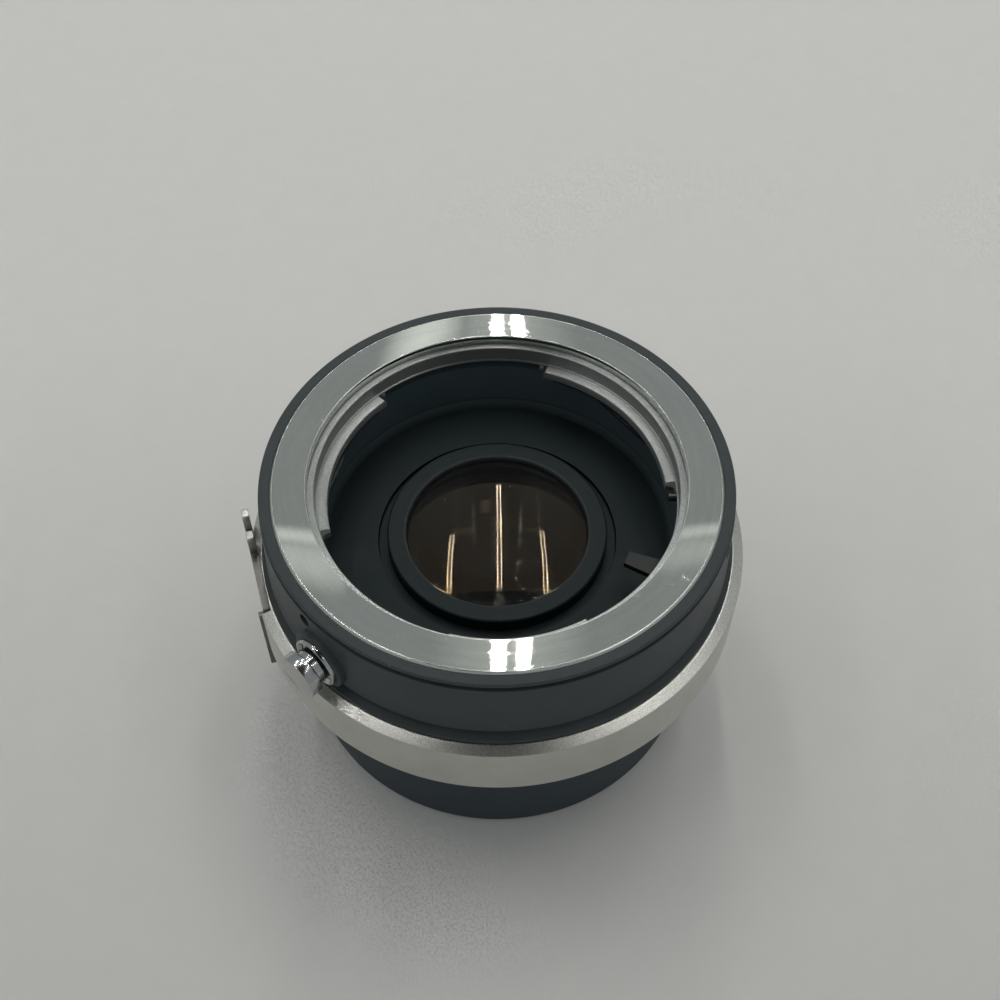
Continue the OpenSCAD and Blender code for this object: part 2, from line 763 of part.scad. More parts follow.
module relay_keeper_ring() {
  color("#56585a")
    difference() {
      ring(keeper_in, keeper_r, z_chamber, z_keeper);
      keeper_screw_rods(z_chamber - cut, z_keeper + cut, keeper_screw_r + fixed_gap);
      upright_rod(pivot_az, lever_r, z_chamber - cut, z_keeper + cut, pivot_r + pass_gap);
    }
}

module keeper_screws() {
  color("#8d8f90") {
    keeper_screw_rods(z_chamber - keeper_screw_l + fixed_gap, z_keeper + keeper_head_h, keeper_screw_r);
    keeper_screw_rods(z_keeper + fixed_gap, z_keeper + keeper_head_h, keeper_head_r);
  }
}

// Black ring that holds the coupling ring up against the barrel
rear_edge_bevel = 0.5;
module rear_barrel() {
  color("#1b1d20")
    difference() {
      rotate_extrude()
        polygon([
          [web_r, z_plate], [rear_r - rear_edge_bevel, z_plate], [rear_r, z_plate + rear_edge_bevel],
          [rear_r, z_rear_top], [neck_r + fixed_gap, z_rear_top], [neck_r + fixed_gap, z_web], [web_r, z_web]
        ]);
      plate_screw_rods(z_seat, z_web + cut, plate_screw_r + fixed_gap);
    }
}

module plate_screw_rods(z0, z1, r) {
  for (i = [0:plate_screws - 1])
    upright_rod(plate_screw_az + 360 / plate_screws * i, plate_screw_pcr, z0, z1, r);
}

// The countersunk heads, or the room for them when grown by a gap and run on past the seat
module plate_screw_heads(grow, past) {
  for (i = [0:plate_screws - 1])
    rotate([0, 0, plate_screw_az + 360 / plate_screws * i])
      translate([plate_screw_pcr, 0, z_seat - past])
        cylinder(r1 = plate_head_r + grow + past, r2 = plate_screw_r + grow, h = plate_head_h + past);
}

// Bright rear mount with its tube and three lugs
module rear_bayonet() {
  color("#c9cbcc")
    difference() {
      union() {
        rotate_extrude()
          polygon([
            [rear_tube_in, z_rear_tube], [rear_tube_r, z_rear_tube], [rear_tube_r, z_seat],
            [plate_r, z_seat], [plate_r, z_plate], [rear_tube_in, z_plate]
          ]);
        for (i = [0:2])
          arc_block(rear_tube_in + rear_tube_t / 2, rear_lug_r, rear_from[i], rear_to[i],
            z_rear_tube, z_rear_tube + rear_lug_t);
      }
      plate_screw_rods(z_seat - cut, z_plate + cut, plate_screw_r + fixed_gap);
      plate_screw_heads(fixed_gap, cut);
      tube_screw_rods(z_plate - tube_screw_l + tube_flange_t, z_plate + cut, tube_screw_r + fixed_gap);
    }
}

module rear_bayonet_screws() {
  color("#8d8f90")
    difference() {
      union() {
        plate_screw_rods(z_seat, z_seat + plate_screw_l - fixed_gap, plate_screw_r);
        plate_screw_heads(0, 0);
      }
      for (i = [0:plate_screws - 1])
        rotate([0, 0, plate_screw_az + 360 / plate_screws * i])
          translate([plate_screw_pcr - plate_head_r - cut, -plate_slot_w / 2, z_seat - cut])
            cube([2 * (plate_head_r + cut), plate_slot_w, plate_slot_d + cut]);
    }
}

module tube_screw_rods(z0, z1, r) {
  for (az = tube_screw_az)
    upright_rod(az, tube_screw_pcr, z0, z1, r);
}

// Black tube that carries the glass, with the flange that it hangs from
// Angle left free on each side of the rear finger in its slot, degrees
slot_play_a = 2;
module lens_tube() {
  color("#222427")
    difference() {
      rotate_extrude()
        polygon([
          [clear_r, z_tube], [tube_r, z_tube], [tube_r, z_plate], [tube_flange_r, z_plate],
          [tube_flange_r, z_plate + tube_flange_t], [tube_r, z_plate + tube_flange_t],
          [tube_r, z_tube_top], [tube_bore_r, z_tube_top], [tube_bore_r, z_tube + tube_lip_t],
          [clear_r, z_tube + tube_lip_t]
        ]);
      arc_block(rear_finger_r - slot_play, rear_finger_r + rear_finger_t + slot_play,
        rear_finger_az - rear_finger_half - slot_play_a,
        rear_finger_az + relay_swing + rear_finger_half + slot_play_a,
        z_plate - cut, z_plate + tube_flange_t + cut);
      tube_screw_rods(z_plate - cut, z_plate + tube_flange_t + cut, tube_screw_r + fixed_gap);
    }
}

tube_head_r = 1.1;
tube_head_h = 0.7;
module lens_tube_screws() {
  z_head = z_plate + tube_flange_t;
  color("#8d8f90") {
    tube_screw_rods(z_head - tube_screw_l + fixed_gap, z_head + tube_head_h, tube_screw_r);
    tube_screw_rods(z_head + fixed_gap, z_head + tube_head_h, tube_head_r);
  }
}

// Satin ring that closes the front of the lens tube
cell_edge = 0.2;
module front_retaining_ring() {
  color("#3a3c3e")
    rotate_extrude()
      polygon([
        [cell_open_r, z_crown_top + glass_gap], [tube_bore_r - fixed_gap, z_crown_top + glass_gap],
        [tube_bore_r - fixed_gap, z_tube_top + fixed_gap], [cell_r, z_tube_top + fixed_gap],
        [cell_r, z_cell - cell_edge], [cell_r - cell_edge, z_cell], [cell_open_r + cell_edge, z_cell],
        [cell_open_r, z_cell - cell_edge]
      ]);
}

// A dome of glass on top of a plane, which it reaches a little into
glass_steps = 360;
dome_root = 0.2;
module dome(curve, z) {
  intersection() {
    translate([0, 0, z + sag(curve, clear_r) - curve])
      sphere(r = curve, $fn = glass_steps);
    translate([0, 0, z - dome_root])
      cylinder(r = clear_r, h = sag(curve, clear_r) + cut);
  }
}

// A hollow sunk into a plane, drawn as the ball that cuts it
module dish(curve, z) {
  translate([0, 0, z - sag(curve, clear_r) + curve])
    sphere(r = curve, $fn = glass_steps);
}

module front_element() {
  color("#4a3a2c") {
    translate([0, 0, z_crown])
      cylinder(r = glass_r, h = crown_edge);
    dome(crown_curve, z_crown_top);
    translate([0, 0, 2 * z_crown])
      mirror([0, 0, 1])
        dome(joint_curve, z_crown);
  }
}

module front_group_rear_element() {
  color("#45382d")
    difference() {
      translate([0, 0, z_flint])
        cylinder(r = glass_r, h = flint_edge);
      dish(joint_curve, z_flint + flint_edge);
    }
}

module front_spacer() {
  color("#2a2c2f")
    ring(spacer_in, glass_r, z_front_sp, z_front_sp + front_spacer_h);
}

module middle_element() {
  color("#3d342c")
    difference() {
      translate([0, 0, z_middle])
        cylinder(r = glass_r, h = middle_edge);
      dish(middle_front_curve, z_middle + middle_edge);
      translate([0, 0, 2 * z_middle])
        mirror([0, 0, 1])
          dish(middle_rear_curve, z_middle);
    }
}

module rear_spacer() {
  color("#2a2c2f")
    ring(spacer_in, glass_r, z_rear_sp, z_rear_sp + rear_spacer_h);
}

module rear_element() {
  color("#40362d") {
    translate([0, 0, z_rear_el])
      cylinder(r = glass_r, h = rear_edge);
    dome(rear_curve, z_rear_el + rear_edge);
  }
}

// Pin in the neck that runs in a groove inside the coupling ring
module ring_stop_pin() {
  color("#8d8f90")
    radial_rod(stop_az, z_stop, stop_pin_in + fixed_gap, neck_r + stop_out, stop_r);
}

// Bright collar that the button slides in, dished inside its rim
collar_edge = 0.2;
collar_dish = 0.45;
module button_collar() {
  color("#c2c4c6")
    rotate([0, 0, button_az])
      translate([0, 0, z_button])
        rotate([0, 90, 0])
          rotate_extrude()
            polygon([
              [collar_bore_r, well_floor + fixed_gap], [collar_tube_r, well_floor + fixed_gap],
              [collar_tube_r, boss_reach + fixed_gap], [collar_r, boss_reach + fixed_gap],
              [collar_r, boss_reach + collar_t - collar_edge],
              [collar_r - collar_edge, boss_reach + collar_t], [collar_tube_r, boss_reach + collar_t],
              [collar_bore_r, boss_reach + collar_t - collar_dish]
            ]);
}

// Headed pin that the lock lever turns on
pivot_head_out = 0.5;
pivot_head_r = pivot_r + pivot_head_out;
pivot_head_h = 0.4;
module lock_pivot_pin() {
  z_head = z_lever + lever_h + pass_gap;
  color("#8d8f90") {
    upright_rod(pivot_az, lever_r, z_chamber - pivot_depth + fixed_gap, z_head + pivot_head_h, pivot_r);
    upright_rod(pivot_az, lever_r, z_head, z_head + pivot_head_h, pivot_head_r);
  }
}

// Chrome push button, with a wide head, a waist, a well for its spring and a necked stem
button_edge = 0.1;
module release_button() {
  color("#d0d2d4")
    rotate([0, 0, button_az])
      translate([0, 0, z_button])
        rotate([0, 90, 0])
          rotate_extrude()
            polygon([
              [0, stem_end - stem_end_t], [stem_r, stem_end - stem_end_t], [stem_r, stem_end],
              [stem_neck_r, stem_end], [stem_neck_r, stem_shoulder], [stem_r, stem_shoulder],
              [stem_r, button_in + spring_well], [spring_well_r, button_in + spring_well],
              [spring_well_r, button_in], [button_r, button_in], [button_r, button_in + button_land],
              [button_waist_r, button_in + button_land], [button_waist_r, button_head_in],
              [button_head_r, button_head_in], [button_head_r, button_reach - button_edge],
              [button_head_r - button_edge, button_reach], [0, button_reach]
            ]);
}

// The button's spring: one wire swept along a helix round the stem
wire_sides = 6;
rings_per_turn = 8;
wire_rings = spring_turns * rings_per_turn;
spring_pitch = (spring_to - spring_from) / spring_turns;
echo(least_spring_gap = spring_pitch - 2 * spring_wire_r);
function wire_point(i, j) =
  let (
    a = 360 * i / rings_per_turn,
    b = 360 * j / wire_sides,
    r = spring_r + spring_wire_r * cos(b)
  )
  [r * cos(a), r * sin(a), spring_from + spring_pitch * i / rings_per_turn + spring_wire_r * sin(b)];
function wire_face(i, j) =
  let (
    k = (j + 1) % wire_sides,
    p = i * wire_sides + j,
    q = i * wire_sides + k
  )
  [[p, p + wire_sides, q], [q, p + wire_sides, q + wire_sides]];
module button_spring() {
  last = wire_rings * wire_sides;
  color("#9a9c9d")
    rotate([0, 0, button_az])
      translate([0, 0, z_button])
        rotate([0, 90, 0])
          polyhedron(
            points = [for (i = [0:wire_rings], j = [0:wire_sides - 1]) wire_point(i, j)],
            faces = concat(
              [for (i = [0:wire_rings - 1], j = [0:wire_sides - 1], f = wire_face(i, j)) f],
              [for (j = [1:wire_sides - 2]) [0, j, j + 1]],
              [for (j = [1:wire_sides - 2]) [last, last + j + 1, last + j]]
            )
          );
}

// Lever that draws the locking tooth back when the button goes in
// Angle that the lever runs on past the tooth and past the button's stem, degrees
lever_past = 2;
neck_side = 0.08;
neck_back = 0.55;
neck_slot = stem_neck_r + neck_side;
neck_slot_w = stem_neck_r + neck_back;
module lock_lever() {
  color("#77797b")
    difference() {
      union() {
        arc_block(lever_in, lever_out, tooth_az - lever_past, button_az + lever_past,
          z_lever, z_lever + lever_h);
        upright_rod(pivot_az, lever_r, z_lever, z_lever + lever_h, hub_r);
        rotate([0, 0, tooth_az])
          translate([tooth_r, -tooth_w / 2, z_lever])
            cube([lever_r - tooth_r, tooth_w, z_tooth - z_lever]);
      }
      upright_rod(pivot_az, lever_r, z_lever - cut, z_lever + lever_h + cut, pivot_r + running_gap);
      rotate([0, 0, button_az])
        translate([lever_in - cut, -neck_slot_w, z_button - neck_slot])
          cube([lever_w + 2 * cut, neck_slot_w + lever_arm, 2 * neck_slot]);
    }
}

// Thin sleeve that carries the stopping-down movement from front to rear
module relay_sleeve() {
  color("#6b6d6f")
    difference() {
      ring(relay_in, relay_r, z_relay, z_relay_top);
      rivet_rods(relay_in - cut, relay_r + cut, rivet_r + fixed_gap);
    }
}

// Rivets sit in pairs, one above the other, in the foot of each finger
rivet_gap = 2;
front_rivet_up = 1.6;
rear_rivet_up = 2.4;
z_front_rivet = z_relay_top - foot_h + front_rivet_up;
z_rear_rivet = z_relay + rear_rivet_up;
module rivet_rods(from, to, r) {
  for (k = [0, 1]) {
    radial_rod(finger_az, z_front_rivet + k * rivet_gap, from, to, r);
    radial_rod(rear_finger_az, z_rear_rivet + k * rivet_gap, from, to, r);
  }
}

// Flat black finger that moves the lens's stopping-down pin
module front_finger() {
  color("#2c2e31")
    difference() {
      union() {
        arc_block(foot_in, foot_in + foot_t, finger_az - foot_half, finger_az + foot_half,
          z_relay_top - foot_h, z_finger + finger_t);
        rotate([0, 0, finger_az])
          translate([0, 0, z_finger])
            linear_extrude(finger_t)
              polygon([
                [finger_tip_r, -finger_tip_w / 2], [foot_in + foot_t / 2, -finger_root_w / 2],
                [foot_in + foot_t / 2, finger_root_w / 2], [finger_tip_r, finger_tip_w / 2]
              ]);
      }
      rivet_rods(foot_in - cut, relay_r, rivet_r + fixed_gap);
    }
}

// Bent finger that the camera's lever pushes
module rear_finger() {
  color("#77797b")
    difference() {
      union() {
        arc_block(foot_in, foot_in + foot_t, rear_finger_az - foot_half, rear_finger_az + foot_half,
          z_relay + relay_gap, z_relay + relay_gap + rear_foot_h);
        arc_block(rear_finger_r, foot_in + foot_t, rear_finger_az - foot_half, rear_finger_az + foot_half,
          z_relay + relay_gap, z_relay + relay_gap + rear_finger_t);
        arc_block(rear_finger_r, rear_finger_r + rear_finger_t,
          rear_finger_az - rear_finger_half, rear_finger_az + rear_finger_half,
          z_seat - rear_finger_reach, z_relay + relay_gap + rear_finger_t);
      }
      rivet_rods(foot_in - cut, relay_r, rivet_r + fixed_gap);
    }
}

module finger_rivets() {
  color("#a5a7a8")
    rivet_rods(foot_in + running_gap, relay_r - end_gap, rivet_r);
}

// Bright ring that turns on the neck and carries the fork arm
module coupling_ring() {
  color("#b9b8b2")
    difference() {
      rotate_extrude()
        polygon([
          [ring_bore_r, z_ring], [ring_r - ring_edge, z_ring], [ring_r, z_ring + ring_edge],
          [ring_r, z_ring_top - ring_bevel_h], [ring_r - ring_bevel_w, z_ring_top], [ring_bore_r, z_ring_top]
        ]);
      rotate([0, 0, arm_az])
        translate([arm_in - fixed_gap, -arm_behind - cut, z_ring - cut])
          cube([ring_r, arm_behind + arm_ahead + cut + pass_gap, ring_h + 2 * cut]);
      arc_block(ring_bore_r - cut, stop_groove_r, stop_az - ring_on - stop_half,
        stop_az + ring_back + stop_half, z_stop - stop_r - pass_gap, z_stop + stop_r + pass_gap);
      arm_screw_rods(arm_in - arm_screw_l, arm_in + cut, arm_screw_r + fixed_gap);
    }
}

// Rods square to the arm's face, one for each of its screws
module arm_screw_rods(from, to, r) {
  for (s = arm_screw_s)
    rotate([0, 0, arm_az])
      translate([from, -s, arm_screw_z])
        rotate([0, 90, 0])
          cylinder(r = r, h = to - from);
}

// Cones for the countersunk heads of those screws, flush with the arm's face
module arm_screw_cones(grow, past) {
  lean = (arm_head_r - arm_screw_r) / arm_head_h;
  for (s = arm_screw_s)
    rotate([0, 0, arm_az])
      translate([arm_out - arm_head_h, -s, arm_screw_z])
        rotate([0, 90, 0])
          cylinder(r1 = arm_screw_r + grow, r2 = arm_head_r + grow + past * lean, h = arm_head_h + past);
}

// Flat steel arm with a fork in front and a tab behind
arm_slope = 3;
module fork_arm() {
  tab_end = -arm_ahead + tab_w;
  prong_1 = arm_behind - 2 * prong_w - slot_w;
  color("#c4c5c4")
    difference() {
      rotate([0, 0, arm_az])
        translate([arm_in, 0, 0])
          rotate([90, 0, 90])
            linear_extrude(arm_t)
              mirror([1, 0])
                polygon([
                  [-arm_ahead, z_tab], [tab_end, z_tab], [tab_end, z_arm - arm_slope],
                  [tab_end + arm_slope, z_arm],
                  [arm_behind, z_arm], [arm_behind, z_prong], [arm_behind - prong_w, z_prong],
                  [arm_behind - prong_w, z_arm_top], [prong_1 + prong_w, z_arm_top],
                  [prong_1 + prong_w, z_prong], [prong_1, z_prong], [prong_1, z_arm_top],
                  [-arm_ahead, z_arm_top]
                ]);
      arm_screw_rods(arm_in - cut, arm_out + cut, arm_screw_r + fixed_gap);
      arm_screw_cones(fixed_gap, cut);
    }
}

module arm_screws() {
  color("#a9abac")
    difference() {
      union() {
        arm_screw_rods(arm_in - arm_screw_l + fixed_gap, arm_out, arm_screw_r);
        arm_screw_cones(0, 0);
      }
      for (s = arm_screw_s)
        rotate([0, 0, arm_az])
          translate([arm_out - arm_slot_d, -s - arm_head_r - cut, arm_screw_z - arm_slot_w / 2])
            cube([arm_slot_d + cut, 2 * (arm_head_r + cut), arm_slot_w]);
    }
}

rear_cap();
front_barrel();
front_bayonet_ring();
barrel_grub_screws();
bayonet_leaf_springs();
leaf_spring_screws();
lens_stop_pin();
light_baffle();
relay_keeper_ring();
keeper_screws();
rear_barrel();
rear_bayonet();
rear_bayonet_screws();
lens_tube();
lens_tube_screws();
front_retaining_ring();
front_element();
front_group_rear_element();
front_spacer();
middle_element();
rear_spacer();
rear_element();
ring_stop_pin();
button_collar();
lock_pivot_pin();
release_button();
button_spring();
lock_lever();
relay_sleeve();
front_finger();
rear_finger();
finger_rivets();
coupling_ring();
fork_arm();
arm_screws();
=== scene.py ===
# %% [markdown]
# # A camera teleconverter, lens side up
# The teleconverter is a short tube that goes between a camera and its lens. It stands here on its rear cap, so the
# bright bayonet that takes the lens is on top. The measured solids come first, and everything is fitted to them:
# they already have the right sizes and places, so nothing below has to be scaled or nudged by eye.

# %% Load the measured model
import json
import math

import bmesh
import bpy
from mathutils import Matrix, Vector


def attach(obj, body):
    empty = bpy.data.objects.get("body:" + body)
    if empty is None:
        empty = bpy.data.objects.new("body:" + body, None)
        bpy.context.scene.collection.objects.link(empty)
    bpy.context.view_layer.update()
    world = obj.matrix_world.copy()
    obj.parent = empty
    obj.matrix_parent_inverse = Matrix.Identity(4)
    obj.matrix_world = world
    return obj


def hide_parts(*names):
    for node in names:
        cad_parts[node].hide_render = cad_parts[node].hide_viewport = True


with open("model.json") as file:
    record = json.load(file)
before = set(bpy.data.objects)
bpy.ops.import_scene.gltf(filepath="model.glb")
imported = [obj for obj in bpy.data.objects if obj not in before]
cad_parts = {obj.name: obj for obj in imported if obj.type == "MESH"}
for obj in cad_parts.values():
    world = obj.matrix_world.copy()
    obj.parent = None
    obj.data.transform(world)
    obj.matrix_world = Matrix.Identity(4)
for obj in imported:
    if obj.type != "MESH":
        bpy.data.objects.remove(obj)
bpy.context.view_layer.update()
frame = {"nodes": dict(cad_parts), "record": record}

MM = 0.001
bpy.context.scene.view_settings.view_transform = "Standard"

# %% [markdown]
# ## The camera
# The photograph looks down on the teleconverter at about 52 degrees from quite close. A camera can be aimed with a
# constraint, but three small turns are known here (sideways, up and round), so its axes are worked out and set
# as a matrix, and the picture's frame is hit exactly.

# %% Camera at the photograph's viewpoint
FLANGE_TOP = 44.1 * MM
LOOK_DOWN = 0.9059
DISTANCE = 5.8406 * 29.5 * MM
TURN_SIDEWAYS, TURN_UP, TURN_ROUND = 0.0022, -0.0191, 0.0045
FOCAL_LENGTH, SENSOR_WIDTH = 47.78, 36


def turned_pair(a, b, angle):
    """Two axes at right angles, turned together in their own plane."""
    return a * math.cos(angle) - b * math.sin(angle), a * math.sin(angle) + b * math.cos(angle)


right = Vector((1, 0, 0))
ahead = Vector((0, math.cos(LOOK_DOWN), -math.sin(LOOK_DOWN)))
above = right.cross(ahead)
viewpoint = Vector((0, 0, FLANGE_TOP)) - ahead * DISTANCE
right, ahead = turned_pair(right, ahead, TURN_SIDEWAYS)
above, ahead = turned_pair(above, ahead, TURN_UP)
right, above = turned_pair(right, above, TURN_ROUND)

camera = bpy.data.objects.new("camera", bpy.data.cameras.new("camera"))
camera.data.lens = FOCAL_LENGTH
camera.data.sensor_width = SENSOR_WIDTH
camera.matrix_world = Matrix.Translation(viewpoint) @ Matrix((right, above, -ahead)).transposed().to_4x4()
bpy.context.scene.collection.objects.link(camera)
bpy.context.scene.camera = camera
print("camera at", [round(v, 4) for v in viewpoint], "metres")

# %% [markdown]
# ## Helpers for node trees
# A material is a small graph of nodes. It could be drawn by hand in the editor, but then it couldn't be read here. So
# one helper adds a node and fills its inputs, with a constant or with another node's output, and a few more name what
# the graphs below do most: a sum, a stretched range, a mix of two colours by a mask, the parts of a place.


# %% Node helpers
def add(tree, kind, inputs=None, **settings):
    """A new shader node, with its settings, and its inputs set or linked."""
    node = tree.nodes.new("ShaderNode" + kind)
    for name, value in settings.items():
        setattr(node, name, value)
    for key, value in (inputs or {}).items():
        if isinstance(value, bpy.types.NodeSocket):
            tree.links.new(value, node.inputs[key])
        else:
            node.inputs[key].default_value = value
    return node


def maths(tree, operation, a, b=0.0):
    return add(tree, "Math", {0: a, 1: b}, operation=operation).outputs[0]


def spread(tree, value, low, high, to_low=0.0, to_high=1.0):
    """A value stretched from one range to another, and held inside it."""
    inputs = {"Value": value, "From Min": low, "From Max": high, "To Min": to_low, "To Max": to_high}
    return add(tree, "MapRange", inputs).outputs[0]


def mixed(tree, mask, a, b):
    """Colour a where the mask is 0, colour b where it is 1."""
    return add(tree, "Mix", {0: mask, 6: a, 7: b}, data_type="RGBA").outputs[2]


def split(tree, vector):
    """The X, Y and Z of a vector."""
    return add(tree, "SeparateXYZ", {0: vector}).outputs


def off_axis(tree, vector):
    """A place without its height, and its distance from the Z axis."""
    flat = add(tree, "VectorMath", {0: vector, 1: (1, 1, 0)}, operation="MULTIPLY").outputs[0]
    return flat, add(tree, "VectorMath", {0: flat}, operation="LENGTH").outputs["Value"]


def new_group(name, outputs, setting, usual):
    """An empty shader node group that takes a place and one setting, with its input and output sockets."""
    tree = bpy.data.node_groups.new(name, "ShaderNodeTree")
    tree.interface.new_socket("Vector", in_out="INPUT", socket_type="NodeSocketVector")
    tree.interface.new_socket(setting, in_out="INPUT", socket_type="NodeSocketFloat").default_value = usual
    for label in outputs:
        tree.interface.new_socket(label, in_out="OUTPUT", socket_type="NodeSocketFloat")
    return tree, tree.nodes.new("NodeGroupInput").outputs, tree.nodes.new("NodeGroupOutput").inputs


print("node helpers ready")

# %% [markdown]
# ## Lathe lines
# Most of these pieces come off a lathe, and the tool leaves fine rings round the axis. A Wave texture could draw
# them, but real ones are uneven. So a noise is read with the distance from the axis plus the height as its first
# coordinate, far finer than the way round, and the rings come out irregular and close up on every turned face.


# %% Group for lathe lines
def make_lathe_lines():
    tree, given, result = new_group("lathe_lines", ["Height", "Streak"], "Lines", 9000.0)
    band_width, band_turns = 0.12, 3.0
    flat, radius = off_axis(tree, given["Vector"])
    height = split(tree, given["Vector"])["Z"]
    across = maths(tree, "MULTIPLY", maths(tree, "ADD", radius, height), given["Lines"])
    way_round = split(tree, add(tree, "VectorMath", {0: flat}, operation="NORMALIZE").outputs[0])
    fine = add(tree, "CombineXYZ", {0: across, 1: way_round["X"], 2: way_round["Y"]}).outputs[0]
    noise = add(tree, "TexNoise", {"Vector": fine, "Scale": 1.0, "Detail": 3.0, "Roughness": 0.65})
    tree.links.new(noise.outputs[0], result["Height"])
    coarse = {
        0: maths(tree, "MULTIPLY", across, band_width),
        1: maths(tree, "MULTIPLY", way_round["X"], band_turns),
        2: maths(tree, "MULTIPLY", way_round["Y"], band_turns),
    }
    banded = add(tree, "CombineXYZ", coarse).outputs[0]
    bands = add(tree, "TexNoise", {"Vector": banded, "Scale": 1.0, "Detail": 4.0, "Roughness": 0.6})
    tree.links.new(spread(tree, bands.outputs[0], 0.3, 0.7), result["Streak"])
    return tree


LATHE_LINES = make_lathe_lines()
print("group:", LATHE_LINES.name)

# %% [markdown]
# ## Fine grain
# Enamel, blasting and moulding leave a fine grain with slow, cloudy changes of tone under it. A picture of a real
# surface would show its seams and its own light. Two noises of very different size do without it: the small one goes
# to the bump, the large one to the tone.


# %% Group for fine grain
def make_fine_grain():
    tree, given, result = new_group("fine_grain", ["Height", "Mottle"], "Grain", 7000.0)
    cloud_scale = 170.0
    grain = add(tree, "TexNoise", {"Vector": given["Vector"], "Scale": given["Grain"], "Detail": 2.0})
    cloud = add(
        tree, "TexNoise", {"Vector": given["Vector"], "Scale": cloud_scale, "Detail": 5.0, "Roughness": 0.6}
    )
    tree.links.new(grain.outputs[0], result["Height"])
    tree.links.new(spread(tree, cloud.outputs[0], 0.32, 0.68), result["Mottle"])
    return tree


FINE_GRAIN = make_fine_grain()
print("group:", FINE_GRAIN.name)

# %% [markdown]
# ## Rubbed edges
# Handling rubs edges bright before anything else. Blender can find edges with a Bevel node or with pointiness, but
# the first is slow and the second depends on the mesh. The rounded edges of a piece are known when they are made, so
# they carry an attribute named edge, and a noise breaks it up.


# %% Group for rubbed edges
def make_rubbed_edges():
    tree, given, result = new_group("rubbed_edges", ["Mask"], "Amount", 0.5)
    patch_scale, fade = 900.0, 0.12
    edge = add(tree, "Attribute", attribute_name="edge").outputs["Fac"]
    patchy = add(
        tree, "TexNoise", {"Vector": given["Vector"], "Scale": patch_scale, "Detail": 5.0, "Roughness": 0.7}
    )
    least = maths(tree, "SUBTRACT", 1.0, given["Amount"])
    shown = spread(tree, patchy.outputs[0], least, maths(tree, "ADD", least, fade))
    tree.links.new(maths(tree, "MULTIPLY", edge, shown), result["Mask"])
    return tree


RUBBED_EDGES = make_rubbed_edges()
print("group:", RUBBED_EDGES.name)

# %% [markdown]
# ## Hairline scratches
# Lenses that go on and off leave hairlines on the bright metal. They could be drawn one by one, but the borders of
# long, thin cells look the same and cost nothing: three layers of cells lie at different angles, and a noise keeps
# only parts of their borders.


# %% Group for hairlines
def make_hairlines():
    tree, given, result = new_group("hairlines", ["Mask"], "Amount", 0.5)
    thinnest, widest, fade = 0.004, 0.02, 0.08
    total = None
    for angle, stretch in ((0.4, (900, 60, 200)), (2.1, (60, 700, 200)), (1.2, (1300, 90, 200))):
        laid = add(
            tree, "Mapping", {"Vector": given["Vector"], "Rotation": (0, 0, angle), "Scale": stretch}
        ).outputs[0]
        cells = add(tree, "TexVoronoi", {"Vector": laid, "Scale": 1.0}, feature="DISTANCE_TO_EDGE")
        line = spread(tree, cells.outputs["Distance"], thinnest, widest, 1.0, 0.0)
        total = line if total is None else maths(tree, "MAXIMUM", total, line)
    broken = add(tree, "TexNoise", {"Vector": given["Vector"], "Scale": 420.0, "Detail": 3.0}).outputs[0]
    least = maths(tree, "SUBTRACT", 1.0, given["Amount"])
    shown = spread(tree, broken, least, maths(tree, "ADD", least, fade))
    tree.links.new(maths(tree, "MULTIPLY", total, shown), result["Mask"])
    return tree


HAIRLINES = make_hairlines()
print("group:", HAIRLINES.name)

# %% [markdown]
# ## Dust
# A few specks of dust lie on everything that has been handled. They could be scattered as tiny meshes, which is much
# for so little. Here they are the middles of cells, of which each cell's random colour keeps only a few.


# %% Group for dust
def make_dust():
    tree, given, result = new_group("dust", ["Mask"], "Amount", 0.3)
    solid_to, gone_at = 0.06, 0.13
    cells = add(tree, "TexVoronoi", {"Vector": given["Vector"], "Scale": 1100.0})
    chosen = split(tree, cells.outputs["Color"])["X"]
    keep = maths(tree, "LESS_THAN", chosen, given["Amount"])
    speck = spread(tree, cells.outputs["Distance"], solid_to, gone_at, 1.0, 0.0)
    tree.links.new(maths(tree, "MULTIPLY", keep, speck), result["Mask"])
    return tree


DUST = make_dust()
print("group:", DUST.name)

# %% [markdown]
# ## The finishes
# Each finish is one Principled shader. The steady values, such as the metal's anisotropy, sit on the shader itself.
# What changes over the surface comes from the groups, and goes to the colour, the roughness and the bump.

# %% Start a finish
finish = {}


def start_finish(name, **values):
    """A material with its Principled shader, and Object coordinates to lay patterns on."""
    material = bpy.data.materials.new(name)
    material.use_nodes = True
    tree = material.node_tree
    shader = tree.nodes["Principled BSDF"]
    for label, value in values.items():
        shader.inputs[label.replace("_", " ")].default_value = value
    finish[name] = material
    return tree, shader, add(tree, "TexCoord").outputs["Object"]


def use(tree, group, vector, **values):
    """A group placed in a material, with its own values."""
    return add(tree, "Group", {"Vector": vector, **values}, node_tree=group).outputs


def bumped(tree, shader, height, strength, distance):
    bump = add(tree, "Bump", {"Height": height, "Strength": strength, "Distance": distance * MM})
    tree.links.new(bump.outputs[0], shader.inputs["Normal"])


def link(tree, output, shader, name):
    tree.links.new(output, shader.inputs[name])


print("finishes can be started")

# %% [markdown]
# ## Bright plated bayonet
# The bayonet is turned metal with bright plating, and its fine rings stretch every reflection across them, so the
# ceiling lamps become bars over the flange. A bump map alone would need rings finer than a pixel, so the shader's own
# anisotropy does it, with its tangent running round the axis. In the photograph the metal is duller inside, and the
# faces that point up there, the ledge and the lugs, look milled and rubbed.

